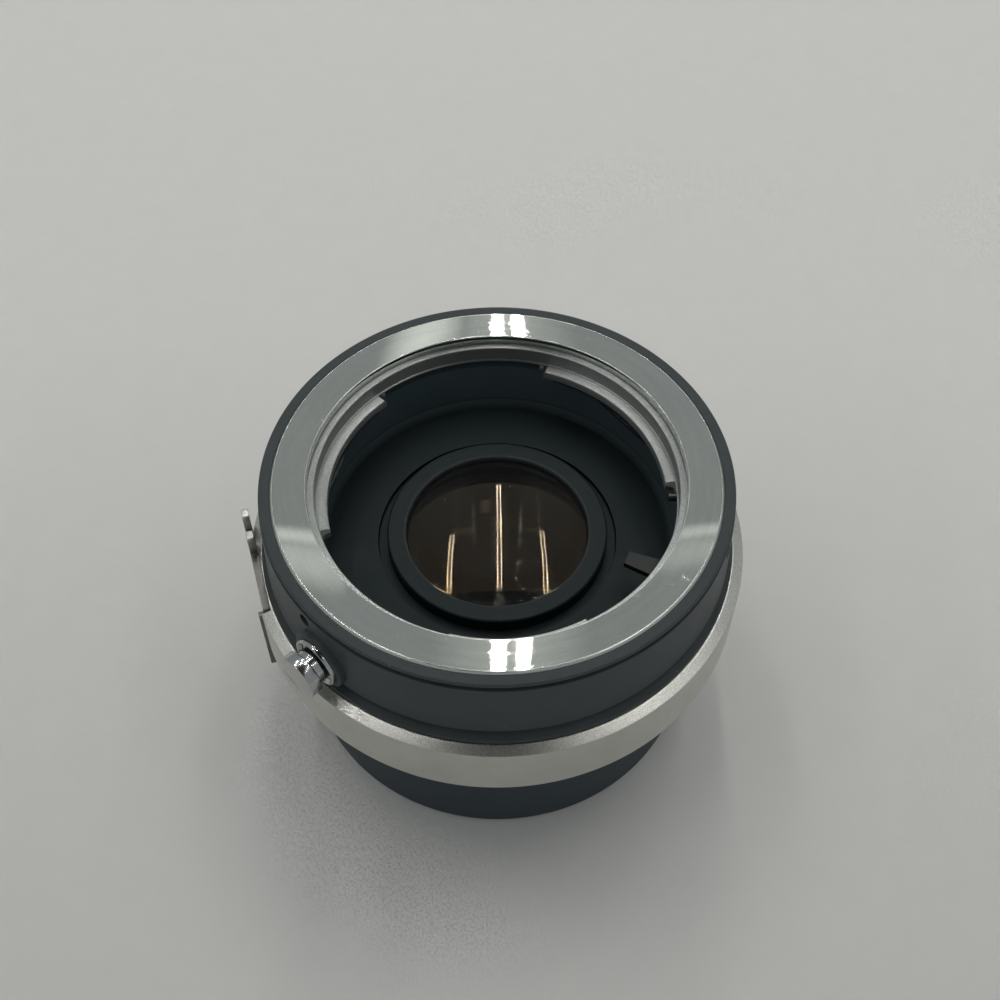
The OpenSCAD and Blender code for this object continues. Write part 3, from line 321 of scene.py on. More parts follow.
# %% Colour of the bayonet
tree, shader, where = start_finish("bright_mount", Metallic=1.0, Anisotropic=1.0, Anisotropic_Rotation=0.25)
link(tree, add(tree, "Tangent", direction_type="RADIAL", axis="Z").outputs[0], shader, "Tangent")
lines = use(tree, LATHE_LINES, where, Lines=9000.0)
scratch = use(tree, HAIRLINES, where, Amount=0.36)["Mask"]
grain = use(tree, FINE_GRAIN, where, Grain=5200.0)
INSIDE_BELOW, FLANGE_ABOVE = 42.8 * MM, 43.4 * MM
level = split(tree, where)["Z"]
faces_up = split(tree, add(tree, "NewGeometry").outputs["Normal"])["Z"]
inside = spread(tree, level, INSIDE_BELOW, FLANGE_ABOVE, 1.0, 0.0)
milled = maths(tree, "MULTIPLY", inside, spread(tree, faces_up, 0.5, 0.85))
tone = mixed(tree, lines["Streak"], (0.55, 0.58, 0.535, 1), (0.62, 0.645, 0.60, 1))
tone = mixed(tree, spread(tree, grain["Height"], 0.35, 0.65, 0.0, 0.14), tone, (0.36, 0.38, 0.36, 1))
tone = mixed(tree, maths(tree, "MULTIPLY", grain["Mottle"], 0.16), tone, (0.43, 0.45, 0.42, 1))
tone = mixed(tree, inside, tone, (0.30, 0.31, 0.30, 1))
rubbed = mixed(tree, spread(tree, grain["Height"], 0.35, 0.65), (0.37, 0.385, 0.37, 1), (0.50, 0.515, 0.50, 1))
tone = mixed(tree, milled, tone, rubbed)
link(tree, mixed(tree, maths(tree, "MULTIPLY", scratch, 0.6), tone, (0.80, 0.80, 0.78, 1)), shader, "Base Color")
print("colour of bright_mount", len(tree.nodes), "nodes")

# %% Gloss and relief of the bayonet
rough = spread(tree, lines["Streak"], 0.0, 1.0, 0.019, 0.026)
turned_edge = add(tree, "Attribute", attribute_name="edge").outputs["Fac"]
rough = maths(tree, "ADD", rough, maths(tree, "MULTIPLY", turned_edge, 0.30))
rough = maths(tree, "ADD", rough, maths(tree, "MULTIPLY", scratch, 0.10))
rough = maths(tree, "ADD", rough, maths(tree, "MULTIPLY", inside, 0.34))
link(tree, maths(tree, "ADD", rough, maths(tree, "MULTIPLY", milled, 0.05)), shader, "Roughness")
rings = maths(tree, "MULTIPLY", lines["Height"], 0.4)
bumped(tree, shader, maths(tree, "ADD", rings, maths(tree, "MULTIPLY", milled, grain["Height"])), 0.08, 0.02)
print("finish: bright_mount", len(tree.nodes), "nodes")

# %% [markdown]
# ## Black enamel
# The barrels are sprayed with a black enamel that has dried to a faint grain, is a little rubbed at its edges and
# holds some dust. A single flat black would look like a hole in the picture, so two close tones lie in clouds.

# %% Finish of the barrels
tree, shader, where = start_finish("black_enamel", Specular_IOR_Level=0.13)
grain = use(tree, FINE_GRAIN, where, Grain=6500.0)
worn = use(tree, RUBBED_EDGES, where, Amount=0.42)["Mask"]
speck = use(tree, DUST, where, Amount=0.05)["Mask"]
tone = mixed(tree, grain["Mottle"], (0.055, 0.065, 0.068, 1), (0.066, 0.077, 0.080, 1))
tone = mixed(tree, worn, tone, (0.075, 0.082, 0.082, 1))
link(tree, mixed(tree, maths(tree, "MULTIPLY", speck, 0.5), tone, (0.3, 0.3, 0.29, 1)), shader, "Base Color")
link(tree, spread(tree, grain["Mottle"], 0.0, 1.0, 0.40, 0.50), shader, "Roughness")
bumped(tree, shader, grain["Height"], 0.10, 0.02)
print("finish: black_enamel", len(tree.nodes), "nodes")

# %% [markdown]
# ## Matt black inside
# The light baffle is painted matt, so that no light strays to the film. In the photograph its wall looks paler than
# its floor, so the wall's paler tone is painted light, as from lamps above. Two materials could be used, but one with
# two tones, and the height as the mask, needs no cut in the solid.

# %% Finish of the baffle
FLOOR_BELOW, WALL_ABOVE = 30.7 * MM, 32.2 * MM
tree, shader, where = start_finish("baffle_black", Specular_IOR_Level=0.30)
grain = use(tree, FINE_GRAIN, where, Grain=5000.0)
# The wall's paler tone is painted light from above, not a different paint.
painted_light_wall = spread(tree, split(tree, where)["Z"], FLOOR_BELOW, WALL_ABOVE)
floor_tone = mixed(tree, grain["Mottle"], (0.0068, 0.0148, 0.0160, 1), (0.0095, 0.0185, 0.0195, 1))
painted_light_wall_tone = mixed(tree, grain["Mottle"], (0.062, 0.092, 0.100, 1), (0.075, 0.105, 0.113, 1))
link(tree, mixed(tree, painted_light_wall, floor_tone, painted_light_wall_tone), shader, "Base Color")
link(tree, spread(tree, grain["Mottle"], 0.0, 1.0, 0.58, 0.70), shader, "Roughness")
bumped(tree, shader, grain["Height"], 0.15, 0.02)
print("finish: baffle_black", len(tree.nodes), "nodes")

# %% [markdown]
# ## Moulded cap
# The rear cap is moulded in black plastic. The mould's fine texture scatters light, which a plain low gloss would
# also do, but the grain in the bump breaks up its highlights in the same way as the real surface.

# %% Finish of the cap
tree, shader, where = start_finish("cap_plastic", Specular_IOR_Level=0.11)
grain = use(tree, FINE_GRAIN, where, Grain=2600.0)
worn = use(tree, RUBBED_EDGES, where, Amount=0.46)["Mask"]
speck = use(tree, DUST, where, Amount=0.05)["Mask"]
tone = mixed(tree, grain["Mottle"], (0.034, 0.046, 0.054, 1), (0.043, 0.056, 0.064, 1))
tone = mixed(tree, worn, tone, (0.05, 0.053, 0.054, 1))
link(tree, mixed(tree, maths(tree, "MULTIPLY", speck, 0.4), tone, (0.3, 0.3, 0.29, 1)), shader, "Base Color")
link(tree, spread(tree, grain["Mottle"], 0.0, 1.0, 0.34, 0.44), shader, "Roughness")
bumped(tree, shader, grain["Height"], 0.06, 0.02)
print("finish: cap_plastic", len(tree.nodes), "nodes")

# %% [markdown]
# ## Anodised lens cell
# The lens cell's ring looks like turned aluminium, anodised black, so the lathe's rings still show under the colour.
# The photograph has no true black in its bore, so the bore gets a paler tone, painted light on its shaded inner wall,
# with the distance from the axis as mask.

# %% Finish of the lens cell
tree, shader, where = start_finish("cell_black", Specular_IOR_Level=0.16)
lines = use(tree, LATHE_LINES, where, Lines=7000.0)
worn = use(tree, RUBBED_EDGES, where, Amount=0.5)["Mask"]
tone = mixed(tree, lines["Streak"], (0.0095, 0.0165, 0.0180, 1), (0.0140, 0.0225, 0.0240, 1))
BORE_TO, FACE_FROM = 12.65 * MM, 12.85 * MM
# The bore's paler tone is painted light on a wall that faces away from the lamps.
painted_light_in_bore = spread(tree, off_axis(tree, where)[1], BORE_TO, FACE_FROM, 1.0, 0.0)
tone = mixed(tree, painted_light_in_bore, tone, (0.055, 0.065, 0.067, 1))
link(tree, mixed(tree, worn, tone, (0.03, 0.032, 0.032, 1)), shader, "Base Color")
link(tree, spread(tree, lines["Streak"], 0.0, 1.0, 0.42, 0.52), shader, "Roughness")
bumped(tree, shader, lines["Height"], 0.12, 0.02)
print("finish: cell_black", len(tree.nodes), "nodes")

# %% [markdown]
# ## Satin silver ring
# The coupling ring is blasted and plated to a satin silver, and the bevel on its upper edge is coarser, with flecks.
# Roughness alone gives the satin, and a bump of fine grain breaks it up. The bevel is found by its height.

# %% Finish of the coupling ring
tree, shader, where = start_finish("satin_silver", Metallic=1.0)
grain = use(tree, FINE_GRAIN, where, Grain=5200.0)
worn = use(tree, RUBBED_EDGES, where, Amount=0.42)["Mask"]
speck = use(tree, DUST, where, Amount=0.02)["Mask"]
SIDE_BELOW, BEVEL_ABOVE = 30.80 * MM, 30.92 * MM
bevelled = spread(tree, split(tree, where)["Z"], SIDE_BELOW, BEVEL_ABOVE)
tone = mixed(tree, grain["Mottle"], (0.55, 0.55, 0.505, 1), (0.62, 0.62, 0.575, 1))
fleck = use(tree, FINE_GRAIN, where, Grain=9000.0)["Height"]
coarse = mixed(tree, spread(tree, fleck, 0.38, 0.62), (0.425, 0.425, 0.39, 1), (0.71, 0.71, 0.665, 1))
tone = mixed(tree, bevelled, tone, coarse)
tone = mixed(tree, maths(tree, "MULTIPLY", speck, 0.6), tone, (0.16, 0.15, 0.13, 1))
link(tree, mixed(tree, worn, tone, (0.66, 0.66, 0.63, 1)), shader, "Base Color")
rough = spread(tree, grain["Mottle"], 0.0, 1.0, 0.42, 0.50)
link(tree, maths(tree, "SUBTRACT", rough, maths(tree, "MULTIPLY", bevelled, 0.14)), shader, "Roughness")
bumped(tree, shader, grain["Height"], 0.45, 0.03)
print("finish: satin_silver", len(tree.nodes), "nodes")

# %% [markdown]
# ## Chrome of the button
# The release button is turned and chromed. Its lathe rings run round its own axis, which points out of the barrel's
# side. A Texture Coordinate on another object could turn them, but the export drops that, so three Mapping nodes
# bring the place to the button's height, turn it to the button's side and lay it on its axis.

# %% Finish of the button
BUTTON_AZIMUTH, BUTTON_HEIGHT = 225.5, 35.8
tree, shader, where = start_finish("button_chrome", Metallic=1.0)
laid = where
for change, amount in (
    ("Location", (0, 0, BUTTON_HEIGHT * MM)),
    ("Rotation", (0, 0, math.radians(BUTTON_AZIMUTH))),
    ("Rotation", (0, math.pi / 2, 0)),
):
    laid = add(tree, "Mapping", {"Vector": laid, change: amount}, vector_type="TEXTURE").outputs[0]
lines = use(tree, LATHE_LINES, laid, Lines=8000.0)
worn = use(tree, RUBBED_EDGES, where, Amount=0.4)["Mask"]
tone = mixed(tree, lines["Streak"], (0.40, 0.41, 0.41, 1), (0.48, 0.49, 0.48, 1))
link(tree, mixed(tree, worn, tone, (0.60, 0.58, 0.53, 1)), shader, "Base Color")
link(tree, spread(tree, lines["Streak"], 0.0, 1.0, 0.13, 0.19), shader, "Roughness")
bumped(tree, shader, lines["Height"], 0.02, 0.005)
print("finish: button_chrome", len(tree.nodes), "nodes")

# %% [markdown]
# ## Plated sheet steel of the fork
# The fork is cut from sheet steel and plated. In the photograph its lower part is darker than its prongs. Two
# materials would meet in a hard line, so one material's colour changes with the height, darker towards the bottom.

# %% Finish of the fork
tree, shader, where = start_finish("arm_steel", Metallic=1.0)
grain = use(tree, FINE_GRAIN, where, Grain=4200.0)
worn = use(tree, RUBBED_EDGES, where, Amount=0.5)["Mask"]
DARKER_BELOW, PRONGS_ABOVE = 31.2 * MM, 33.0 * MM
# The base colour is darker towards the bottom of the fork and lighter on the prongs.
toward_prongs = spread(tree, split(tree, where)["Z"], DARKER_BELOW, PRONGS_ABOVE)
tone = mixed(tree, grain["Mottle"], (0.155, 0.151, 0.140, 1), (0.225, 0.220, 0.206, 1))
bright = mixed(tree, grain["Mottle"], (0.50, 0.49, 0.46, 1), (0.64, 0.63, 0.60, 1))
tone = mixed(tree, toward_prongs, tone, bright)
link(tree, mixed(tree, worn, tone, (0.34, 0.335, 0.315, 1)), shader, "Base Color")
link(tree, spread(tree, grain["Mottle"], 0.0, 1.0, 0.36, 0.48), shader, "Roughness")
bumped(tree, shader, grain["Height"], 0.12, 0.02)
print("finish: arm_steel", len(tree.nodes), "nodes")

# %% [markdown]
# ## Springs, screws and darkened metal
# The small metal parts differ only in how dark and how polished they are. Five materials could be written out, but a
# loop over their tones and roughness keeps them alike: clouds of two tones, rubbed edges and a fine grain.

# %% Finishes of the small metal parts
for name, low, high, rough_low, rough_high in (
    # spring_steel is blackened steel, and its tone is kept near black partly as painted shade, for springs that lie in
    # shade under the lugs.
    ("spring_steel", (0.030, 0.032, 0.033, 1), (0.050, 0.053, 0.054, 1), 0.30, 0.42),
    ("screw_steel", (0.42, 0.42, 0.41, 1), (0.56, 0.56, 0.55, 1), 0.22, 0.34),
    ("black_screw", (0.020, 0.020, 0.021, 1), (0.038, 0.037, 0.036, 1), 0.34, 0.46),
    ("finger_black", (0.032, 0.034, 0.033, 1), (0.044, 0.046, 0.045, 1), 0.42, 0.55),
    ("relay_metal", (0.075, 0.068, 0.055, 1), (0.14, 0.125, 0.095, 1), 0.30, 0.45),
):
    tree, shader, where = start_finish(name, Metallic=1.0)
    grain = use(tree, FINE_GRAIN, where, Grain=4200.0)
    worn = use(tree, RUBBED_EDGES, where, Amount=0.52)["Mask"]
    tone = mixed(tree, grain["Mottle"], low, high)
    link(tree, mixed(tree, worn, tone, (0.70, 0.69, 0.66, 1)), shader, "Base Color")
    link(tree, spread(tree, grain["Mottle"], 0.0, 1.0, rough_low, rough_high), shader, "Roughness")
    bumped(tree, shader, grain["Height"], 0.12, 0.02)
    print("finish:", name, len(tree.nodes), "nodes")

# %% [markdown]
# ## Coated glass
# The lenses carry a thin film against reflections, which gives what is left of them a warm tint. The shader has such a
# film. The photograph shows no true black in the front glass, so that one lets a little less than all light through,
# and its grey base colour is painted light that lifts the dark behind it.

# %% Finishes of the glass
# For front_glass the grey base colour is painted light. For coated_glass the base colour is the glass's own tint.
for name, film, clear, low in (
    ("front_glass", 64.0, 0.955, (0.180, 0.195, 0.200, 1)), ("coated_glass", 92.0, 1.0, (0.85, 0.82, 0.78, 1)),
):
    tree, shader, where = start_finish(
        name, Transmission_Weight=clear, IOR=1.6, Thin_Film_Thickness=film, Thin_Film_IOR=1.38
    )
    speck = use(tree, DUST, where, Amount=0.03)["Mask"]
    link(tree, mixed(tree, speck, low, (0.50, 0.50, 0.48, 1)), shader, "Base Color")
    link(tree, spread(tree, speck, 0.0, 1.0, 0.0, 0.4), shader, "Roughness")
print("finishes:", ", ".join(sorted(finish)))

# %% [markdown]
# ## Turning and rounding
# A turned piece is a profile spun round the axis. A subdivision surface could round its corners, but it would also
# pull the flats out of true, so each corner that is rounded on the real piece is bevelled instead, and the faces of
# the bevel are marked with the edge attribute for the wear.


# %% Turning and rounding
def mark_edges(bm, faces):
    layer = bm.loops.layers.float.get("edge") or bm.loops.layers.float.new("edge")
    for face in faces:
        for loop in face.loops:
            loop[layer] = 1.0


def round_off(bm, edges, width, segments=3):
    """Rounds some edges, and marks the new faces as edges that wear."""
    bm.loops.layers.float.get("edge") or bm.loops.layers.float.new("edge")
    made = bmesh.ops.bevel(
        bm, geom=list(edges), offset=width * MM, offset_type="OFFSET", segments=segments, profile=0.5,
        affect="EDGES", clamp_overlap=True, material=-1, loop_slide=True,
    )
    mark_edges(bm, made["faces"])


def ring_edges(bm, radius, height):
    """The edges of the circle at that radius and height, in millimetres."""
    def on_it(vert):
        return abs(vert.co.xy.length - radius * MM) < 2e-6 and abs(vert.co.z - height * MM) < 2e-6
    return [edge for edge in bm.edges if all(on_it(vert) for vert in edge.verts)]


def turn(profile, rounds=(), steps=192, closed=True):
    """A profile of (radius, height) in millimetres spun round the Z axis, with some of its corners rounded."""
    bm = bmesh.new()
    points = [bm.verts.new((radius * MM, 0, height * MM)) for radius, height in profile]
    nexts = points[1:] + points[:1] if closed else points[1:]
    lines = [bm.edges.new(pair) for pair in zip(points, nexts)]
    bmesh.ops.spin(
        bm, geom=points + lines, axis=(0, 0, 1), cent=(0, 0, 0), angle=math.tau, steps=steps, use_merge=True
    )
    bmesh.ops.remove_doubles(bm, verts=bm.verts, dist=1e-7)
    bmesh.ops.dissolve_degenerate(bm, edges=bm.edges, dist=1e-8)
    for radius, height, width in rounds:
        round_off(bm, ring_edges(bm, radius, height), width)
    bmesh.ops.recalc_face_normals(bm, faces=bm.faces)
    return bm


print("a profile can be turned and rounded")

# %% [markdown]
# ## Sheet and strips
# Lugs, tabs and the sheet metal of the fork are flat shapes with a thickness. A Solidify modifier could thicken them,
# but an extrusion keeps their edges at hand for rounding. A lug or tab starts as one radial edge, spun part of the way
# round.


# %% Strips, thickness and sharp edges
def strip(inner, outer, height, first, sweep, steps):
    """A flat strip between two radii at one height, from one angle on."""
    bm = bmesh.new()
    ends = [
        bm.verts.new((radius * MM * math.cos(first), radius * MM * math.sin(first), height * MM))
        for radius in (inner, outer)
    ]
    edge = bm.edges.new(ends)
    bmesh.ops.spin(bm, geom=ends + [edge], axis=(0, 0, 1), cent=(0, 0, 0), angle=sweep, steps=steps)
    return bm


def thicken(bm, way):
    """Pulls a flat shape along a vector, so that it becomes a closed solid."""
    pulled = bmesh.ops.extrude_face_region(bm, geom=list(bm.faces))["geom"]
    bmesh.ops.translate(bm, vec=way, verts=[g for g in pulled if isinstance(g, bmesh.types.BMVert)])
    bmesh.ops.recalc_face_normals(bm, faces=bm.faces)


def sharp_edges(bm):
    return [edge for edge in bm.edges if len(edge.link_faces) == 2 and edge.calc_face_angle() > 1.2]


print("strips can be spun and thickened")

# %% [markdown]
# ## Aiming and combining
# The button and the screws point out of the barrel's side, so they are turned on the Z axis and aimed afterwards.
# Holes could be modelled face by face, but an exact Boolean cuts them cleanly on any curve. It is applied at once, so
# that no helper object stays in the scene.


# %% Aiming, cutting and joining
def aim(bm, azimuth, height):
    """Turns a piece made on the Z axis so that it points outwards at that azimuth, at that height."""
    turn_out = Matrix.Rotation(math.radians(azimuth), 4, "Z") @ Matrix.Rotation(math.pi / 2, 4, "Y")
    bmesh.ops.transform(bm, matrix=Matrix.Translation((0, 0, height * MM)) @ turn_out, verts=bm.verts)
    return bm


def peg(radius, low, high, azimuth, height, rounding=0.0, steps=96):
    """A plain round peg that points outwards, from one distance off the axis to another."""
    profile = [(0, low), (radius, low), (radius, high), (0, high)]
    rounds = [(radius, high, rounding)] if rounding else ()
    return aim(turn(profile, rounds, steps, False), azimuth, height)


def combine(bm, other, operation):
    """One bmesh joined to another, or cut by it. Both are used up."""
    objects = []
    for source in (bm, other):
        mesh = bpy.data.meshes.new("shaping")
        source.to_mesh(mesh)
        source.free()
        objects.append(bpy.data.objects.new("shaping", mesh))
        bpy.context.scene.collection.objects.link(objects[-1])
    step = objects[0].modifiers.new("shaping", "BOOLEAN")
    step.object, step.operation, step.solver = objects[1], operation, "EXACT"
    shaped = objects[0].evaluated_get(bpy.context.evaluated_depsgraph_get()).to_mesh()
    result = bmesh.new()
    result.from_mesh(shaped)
    for obj in objects:
        mesh = obj.data
        bpy.data.objects.remove(obj)
        bpy.data.meshes.remove(mesh)
    bmesh.ops.remove_doubles(result, verts=result.verts, dist=1e-7)
    return result


print("pieces can be aimed, cut and joined")

# %% [markdown]
# ## Setting a piece down
# A finished piece gets its finish and its body, and the solids that it stands for are hidden. Smooth shading alone
# would smear light over the flats, so edges over an angle stay sharp, and a Weighted Normal modifier keeps the flats
# flat.


# %% Finished pieces
def set_down(name, bm, body, slot, *nodes, smooth=32):
    """The finished piece: its mesh, its finish, the body it rides on and the solids it stands for."""
    mesh = bpy.data.meshes.new(name)
    bm.to_mesh(mesh)
    bm.free()
    mesh.shade_smooth()
    mesh.set_sharp_from_angle(angle=math.radians(smooth))
    mesh.materials.append(finish[slot])
    piece = bpy.data.objects.new(name, mesh)
    bpy.context.scene.collection.objects.link(piece)
    even = piece.modifiers.new("even_shading", "WEIGHTED_NORMAL")
    even.keep_sharp = True
    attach(piece, body)
    if nodes:
        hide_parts(*nodes)
    print(name, len(mesh.polygons), "faces")
    return piece


print("pieces can be set down")

# %% [markdown]
# ## The bright bayonet
# The flange, the ledge inside it and the throat are one turned profile. It could be built from rings that are joined,
# but one profile leaves no seams, and its corners can be rounded by their radius and height.

# %% Flange, ledge and throat
THROAT = 23.9
bayonet = turn(
    [(24.8, 44.1), (29.2, 44.1), (29.5, 43.8), (29.5, 38.6), (25.6, 38.6), (25.6, 40.2), (23.72, 40.2),
     (23.72, 40.38), (THROAT, 40.45), (THROAT, 42.6), (24.8, 42.6)],
    [(29.2, 44.1, 0.10), (29.5, 43.8, 0.10), (24.8, 44.1, 0.14), (THROAT, 42.6, 0.12), (23.72, 40.38, 0.05)],
    steps=240,
)
print("flange and throat", len(bayonet.faces), "faces")

# %% [markdown]
# ## The bayonet's lugs
# Three lugs reach in under the throat and hold the lens. Each is a strip spun part of the way round. Past each end
# its inner points move out along a small fillet to the throat, as a milling cutter leaves it. A Boolean cut could make
# the fillet too, but moving points keeps the mesh regular. The strip is then thickened, and its ends slope down.

# %% Lugs
LUG_TIP, LUG_ROOT, LUG_LOW, LUG_THICK, FILLET = 22.4, 25.8, 39.0, 1.3, 0.9
SLOPE_START, SLOPE_DEPTH = 0.45, 0.75


def lug(start, end):
    """A lug between two azimuths, in degrees."""
    past = math.degrees(FILLET / THROAT)
    sweep = math.radians(end - start + 2 * past)

    def beyond(vert):
        """How far past the lug's full part a point lies, in millimetres round the throat."""
        turned_by = (math.degrees(math.atan2(vert.co.y, vert.co.x)) - (start - past) + 5) % 360 - 5
        return max(past - turned_by, turned_by - past - (end - start)) * THROAT * math.pi / 180

    steps = round(math.degrees(sweep) / 0.3)
    bm = strip(LUG_TIP, LUG_ROOT, LUG_LOW, math.radians(start - past), sweep, steps)
    for vert in bm.verts:
        out = beyond(vert)
        if out > 1e-4 and vert.co.xy.length < 24 * MM:
            reach = THROAT - FILLET + math.sqrt(max(0.0, FILLET**2 - (FILLET - min(out, FILLET)) ** 2))
            vert.co.xy *= (reach + 0.02) * MM / vert.co.xy.length
    thicken(bm, (0, 0, LUG_THICK * MM))
    for vert in bm.verts:
        if vert.co.z > 40 * MM and vert.co.xy.length < 24 * MM:
            vert.co.z -= min(SLOPE_DEPTH, max(0.0, beyond(vert) + SLOPE_START)) * MM
    inner = [
        edge for edge in sharp_edges(bm)
        if all(vert.co.xy.length < 22.45 * MM for vert in edge.verts)
        and abs(edge.verts[0].co.z - edge.verts[1].co.z) < 1e-7
    ]
    round_off(bm, inner, 0.10, 2)
    return bm


for start, end in ((3, 73), (133, 196), (254, 300)):
    bayonet = combine(bayonet, lug(start, end), "UNION")
set_down("bayonet", bayonet, "body", "bright_mount", "front_bayonet_ring")

# %% [markdown]
# ## The black barrel
# The barrel is one turned profile: a thin rim round the flange, a groove, a wall that spreads a little, a hollow
# band and a lip. The groove could be a dark line in the material, but real depth holds its shadow in every view.

# %% Barrel
barrel = turn(
    [(29.52, 43.85), (30.8, 43.85), (30.95, 43.7), (30.95, 43.32), (30.1, 43.22), (30.1, 42.75), (31.06, 42.65),
     (31.45, 33.4), (30.95, 32.815), (30.95, 32.49), (32.1, 32.0), (32.1, 31.4), (29.0, 31.4), (29.0, 19.5),
     (26.25, 19.5), (26.25, 34.4), (28.8, 34.4), (28.8, 38.0), (29.52, 38.0)],
    [(30.8, 43.85, 0.06), (30.95, 43.7, 0.06), (30.95, 43.32, 0.08), (31.06, 42.65, 0.10), (31.45, 33.4, 0.15),
     (32.1, 32.0, 0.12), (32.1, 31.4, 0.08)],
    steps=240,
)
print("turned barrel", len(barrel.faces), "faces")

# %% [markdown]
# ## The button's boss and the screw holes
# A round boss for the release button stands on the barrel's side, with a well for the collar and a bore for the
# button's stem. Three grub screws sit in holes further up. All of them meet a curved wall, so they are joined and cut
# with Booleans, and the edges meet cleanly.

# %% Boss, well, bore and grub screw holes
GRUB_AZIMUTHS, GRUB_HEIGHT = (100.5, 220.5, 340.5), 41.15
barrel = combine(barrel, peg(4.2, 29.85, 31.95, BUTTON_AZIMUTH, BUTTON_HEIGHT, 0.18), "UNION")
barrel = combine(barrel, peg(3.22, 29.86, 33, BUTTON_AZIMUTH, BUTTON_HEIGHT), "DIFFERENCE")
barrel = combine(barrel, peg(1.2, 27, 31, BUTTON_AZIMUTH, BUTTON_HEIGHT, steps=48), "DIFFERENCE")
for azimuth in GRUB_AZIMUTHS:
    barrel = combine(barrel, peg(0.92, 29.9, 33, azimuth, GRUB_HEIGHT, steps=40), "DIFFERENCE")
set_down("barrel", barrel, "body", "black_enamel", "front_barrel")

# %% [markdown]
# ## The silver coupling ring
# The coupling ring turns round the barrel to carry the aperture setting through. It is turned with a broad bevel on
# its upper edge, and a flat is milled on its side for the fork. The flat could be cut with a bisecting plane, but it
# ends half way, so a block is taken away as the milling cutter would do it.

# %% Coupling ring
ARM_AZIMUTH = 196
ARM_TURN = math.radians(ARM_AZIMUTH)
outwards = Vector((math.cos(ARM_TURN), math.sin(ARM_TURN), 0))
sideways = Vector((math.sin(ARM_TURN), -math.cos(ARM_TURN), 0))


def on_arm(out, along, up):
    """A place by the arm: the distance from the axis, the way along the arm and the height, in millimetres."""
    return outwards * out * MM + sideways * along * MM + Vector((0, 0, up * MM))


def block(size, middle, rounding=0.0):
    """A box that is turned with the arm."""
    bm = bmesh.new()
    bmesh.ops.create_cube(bm, size=1)
    bmesh.ops.scale(bm, vec=[length * MM for length in size], verts=bm.verts)
    if rounding:
        round_off(bm, bm.edges[:], rounding, 2)
    bmesh.ops.rotate(bm, matrix=Matrix.Rotation(ARM_TURN, 3, "Z"), verts=bm.verts)
    bmesh.ops.translate(bm, vec=middle, verts=bm.verts)
    return bm


ring = turn(
    [(29.05, 22.0), (33.4, 22.0), (33.65, 22.25), (33.65, 30.85), (32.25, 31.3), (29.05, 31.3)],
    [(33.65, 30.85, 0.10), (32.25, 31.3, 0.08), (33.65, 22.25, 0.08), (33.4, 22.0, 0.08)],
    steps=240,
)
flat = block((4, 16, 12), on_arm(34.18, 4.25, 26.5))
set_down("coupling_ring_turned", combine(ring, flat, "DIFFERENCE"), "coupling", "satin_silver", "coupling_ring")

# %% [markdown]
# ## The fork
# The fork takes the setting from the lens between its two prongs. It is cut from sheet steel, so its outline is one
# face, thickened and rounded at the edges. Its two screws lie in countersinks, and one side is bent out to a narrow
# edge. A curve with a bevel could make the sheet too, but a face keeps the corners exact.

# %% Sheet of the fork
SHEET_BACK, SHEET_THICK = 32.2, 1.0
ARM_OUTLINE = [
    (-3.55, 17.8), (2.45, 17.8), (2.45, 22.5), (5.45, 25.5), (11.2, 25.5), (11.2, 34.7), (9.55, 34.7), (9.55, 31.2),
    (7.4, 31.2), (7.4, 34.7), (5.75, 34.7), (5.75, 31.2), (-3.55, 31.2),
]
arm = bmesh.new()
arm.faces.new([arm.verts.new(on_arm(SHEET_BACK, along, up)) for along, up in ARM_OUTLINE])
thicken(arm, outwards * SHEET_THICK * MM)
corner_edges = [
    edge for edge in arm.edges
    if abs((edge.verts[0].co - edge.verts[1].co).normalized().dot(outwards)) > 0.99
]
bmesh.ops.bevel(
    arm, geom=corner_edges, offset=0.35 * MM, offset_type="OFFSET", segments=5, profile=0.5, affect="EDGES",
    clamp_overlap=True, material=-1,
)
round_off(arm, sharp_edges(arm), 0.08, 2)
print("sheet of the fork", len(arm.faces), "faces")

# %% Countersinks and bent edge
SCREW_HEIGHT = 28.35
COUNTERSINK = [(0, 32.0), (0.73, 32.0), (0.73, 32.6), (1.44, 33.2), (1.44, 33.6), (0, 33.6)]
for along_arm in (-1.1, 3.9):
    sink = aim(turn(COUNTERSINK, (), 48, False), ARM_AZIMUTH, SCREW_HEIGHT)
    bmesh.ops.translate(sink, vec=sideways * along_arm * MM, verts=sink.verts)
    arm = combine(arm, sink, "DIFFERENCE")
bent_edge = block((1.0, 0.8, 12.3), on_arm(33.4, -3.15, 23.95), 0.12)
arm = combine(arm, bent_edge, "UNION")
set_down("fork", arm, "coupling", "arm_steel", "fork_arm", smooth=40)

# %% [markdown]
# ## The release button
# A chrome button frees the lens: a stem, a waist and a broad head. It is a small turned piece on an axis that points
# out of the barrel's side. A cylinder with loop cuts would do, but a profile gives each diameter as it was measured.

# %% Button
button = turn(
    [(0, 29.4), (0.95, 29.4), (0.95, 31.0), (2.8, 31.0), (2.8, 32.0), (2.35, 32.0), (2.35, 33.8), (3.05, 33.8),
     (3.05, 35.4), (0, 35.4)],
    [(3.05, 35.4, 0.10), (3.05, 33.8, 0.08)], 96, False,
)
set_down("button", aim(button, BUTTON_AZIMUTH, BUTTON_HEIGHT), "button", "button_chrome", "release_button")

# %% [markdown]
# ## The button's collar
# A bright collar lines the button's well and stays on the barrel when the button goes in. So it is a piece of its own,
# and its rim is rounded more than the button, because it catches a thin ring of light there.

# %% Collar
collar = turn(
    [(2.85, 29.9), (3.2, 29.9), (3.2, 31.97), (3.47, 31.97), (3.47, 32.55), (3.2, 32.55), (2.85, 32.1)],
    [(3.47, 32.55, 0.16), (3.2, 32.55, 0.05)], 96,
)
set_down("collar", aim(collar, BUTTON_AZIMUTH, BUTTON_HEIGHT), "body", "button_chrome", "button_collar")

# %% [markdown]
# ## The rear barrel
# The rear barrel is a low black ring under the silver one. Only its side shows, but it is turned as a whole ring, so
# that nothing is open when the silver ring turns or the cap comes off.

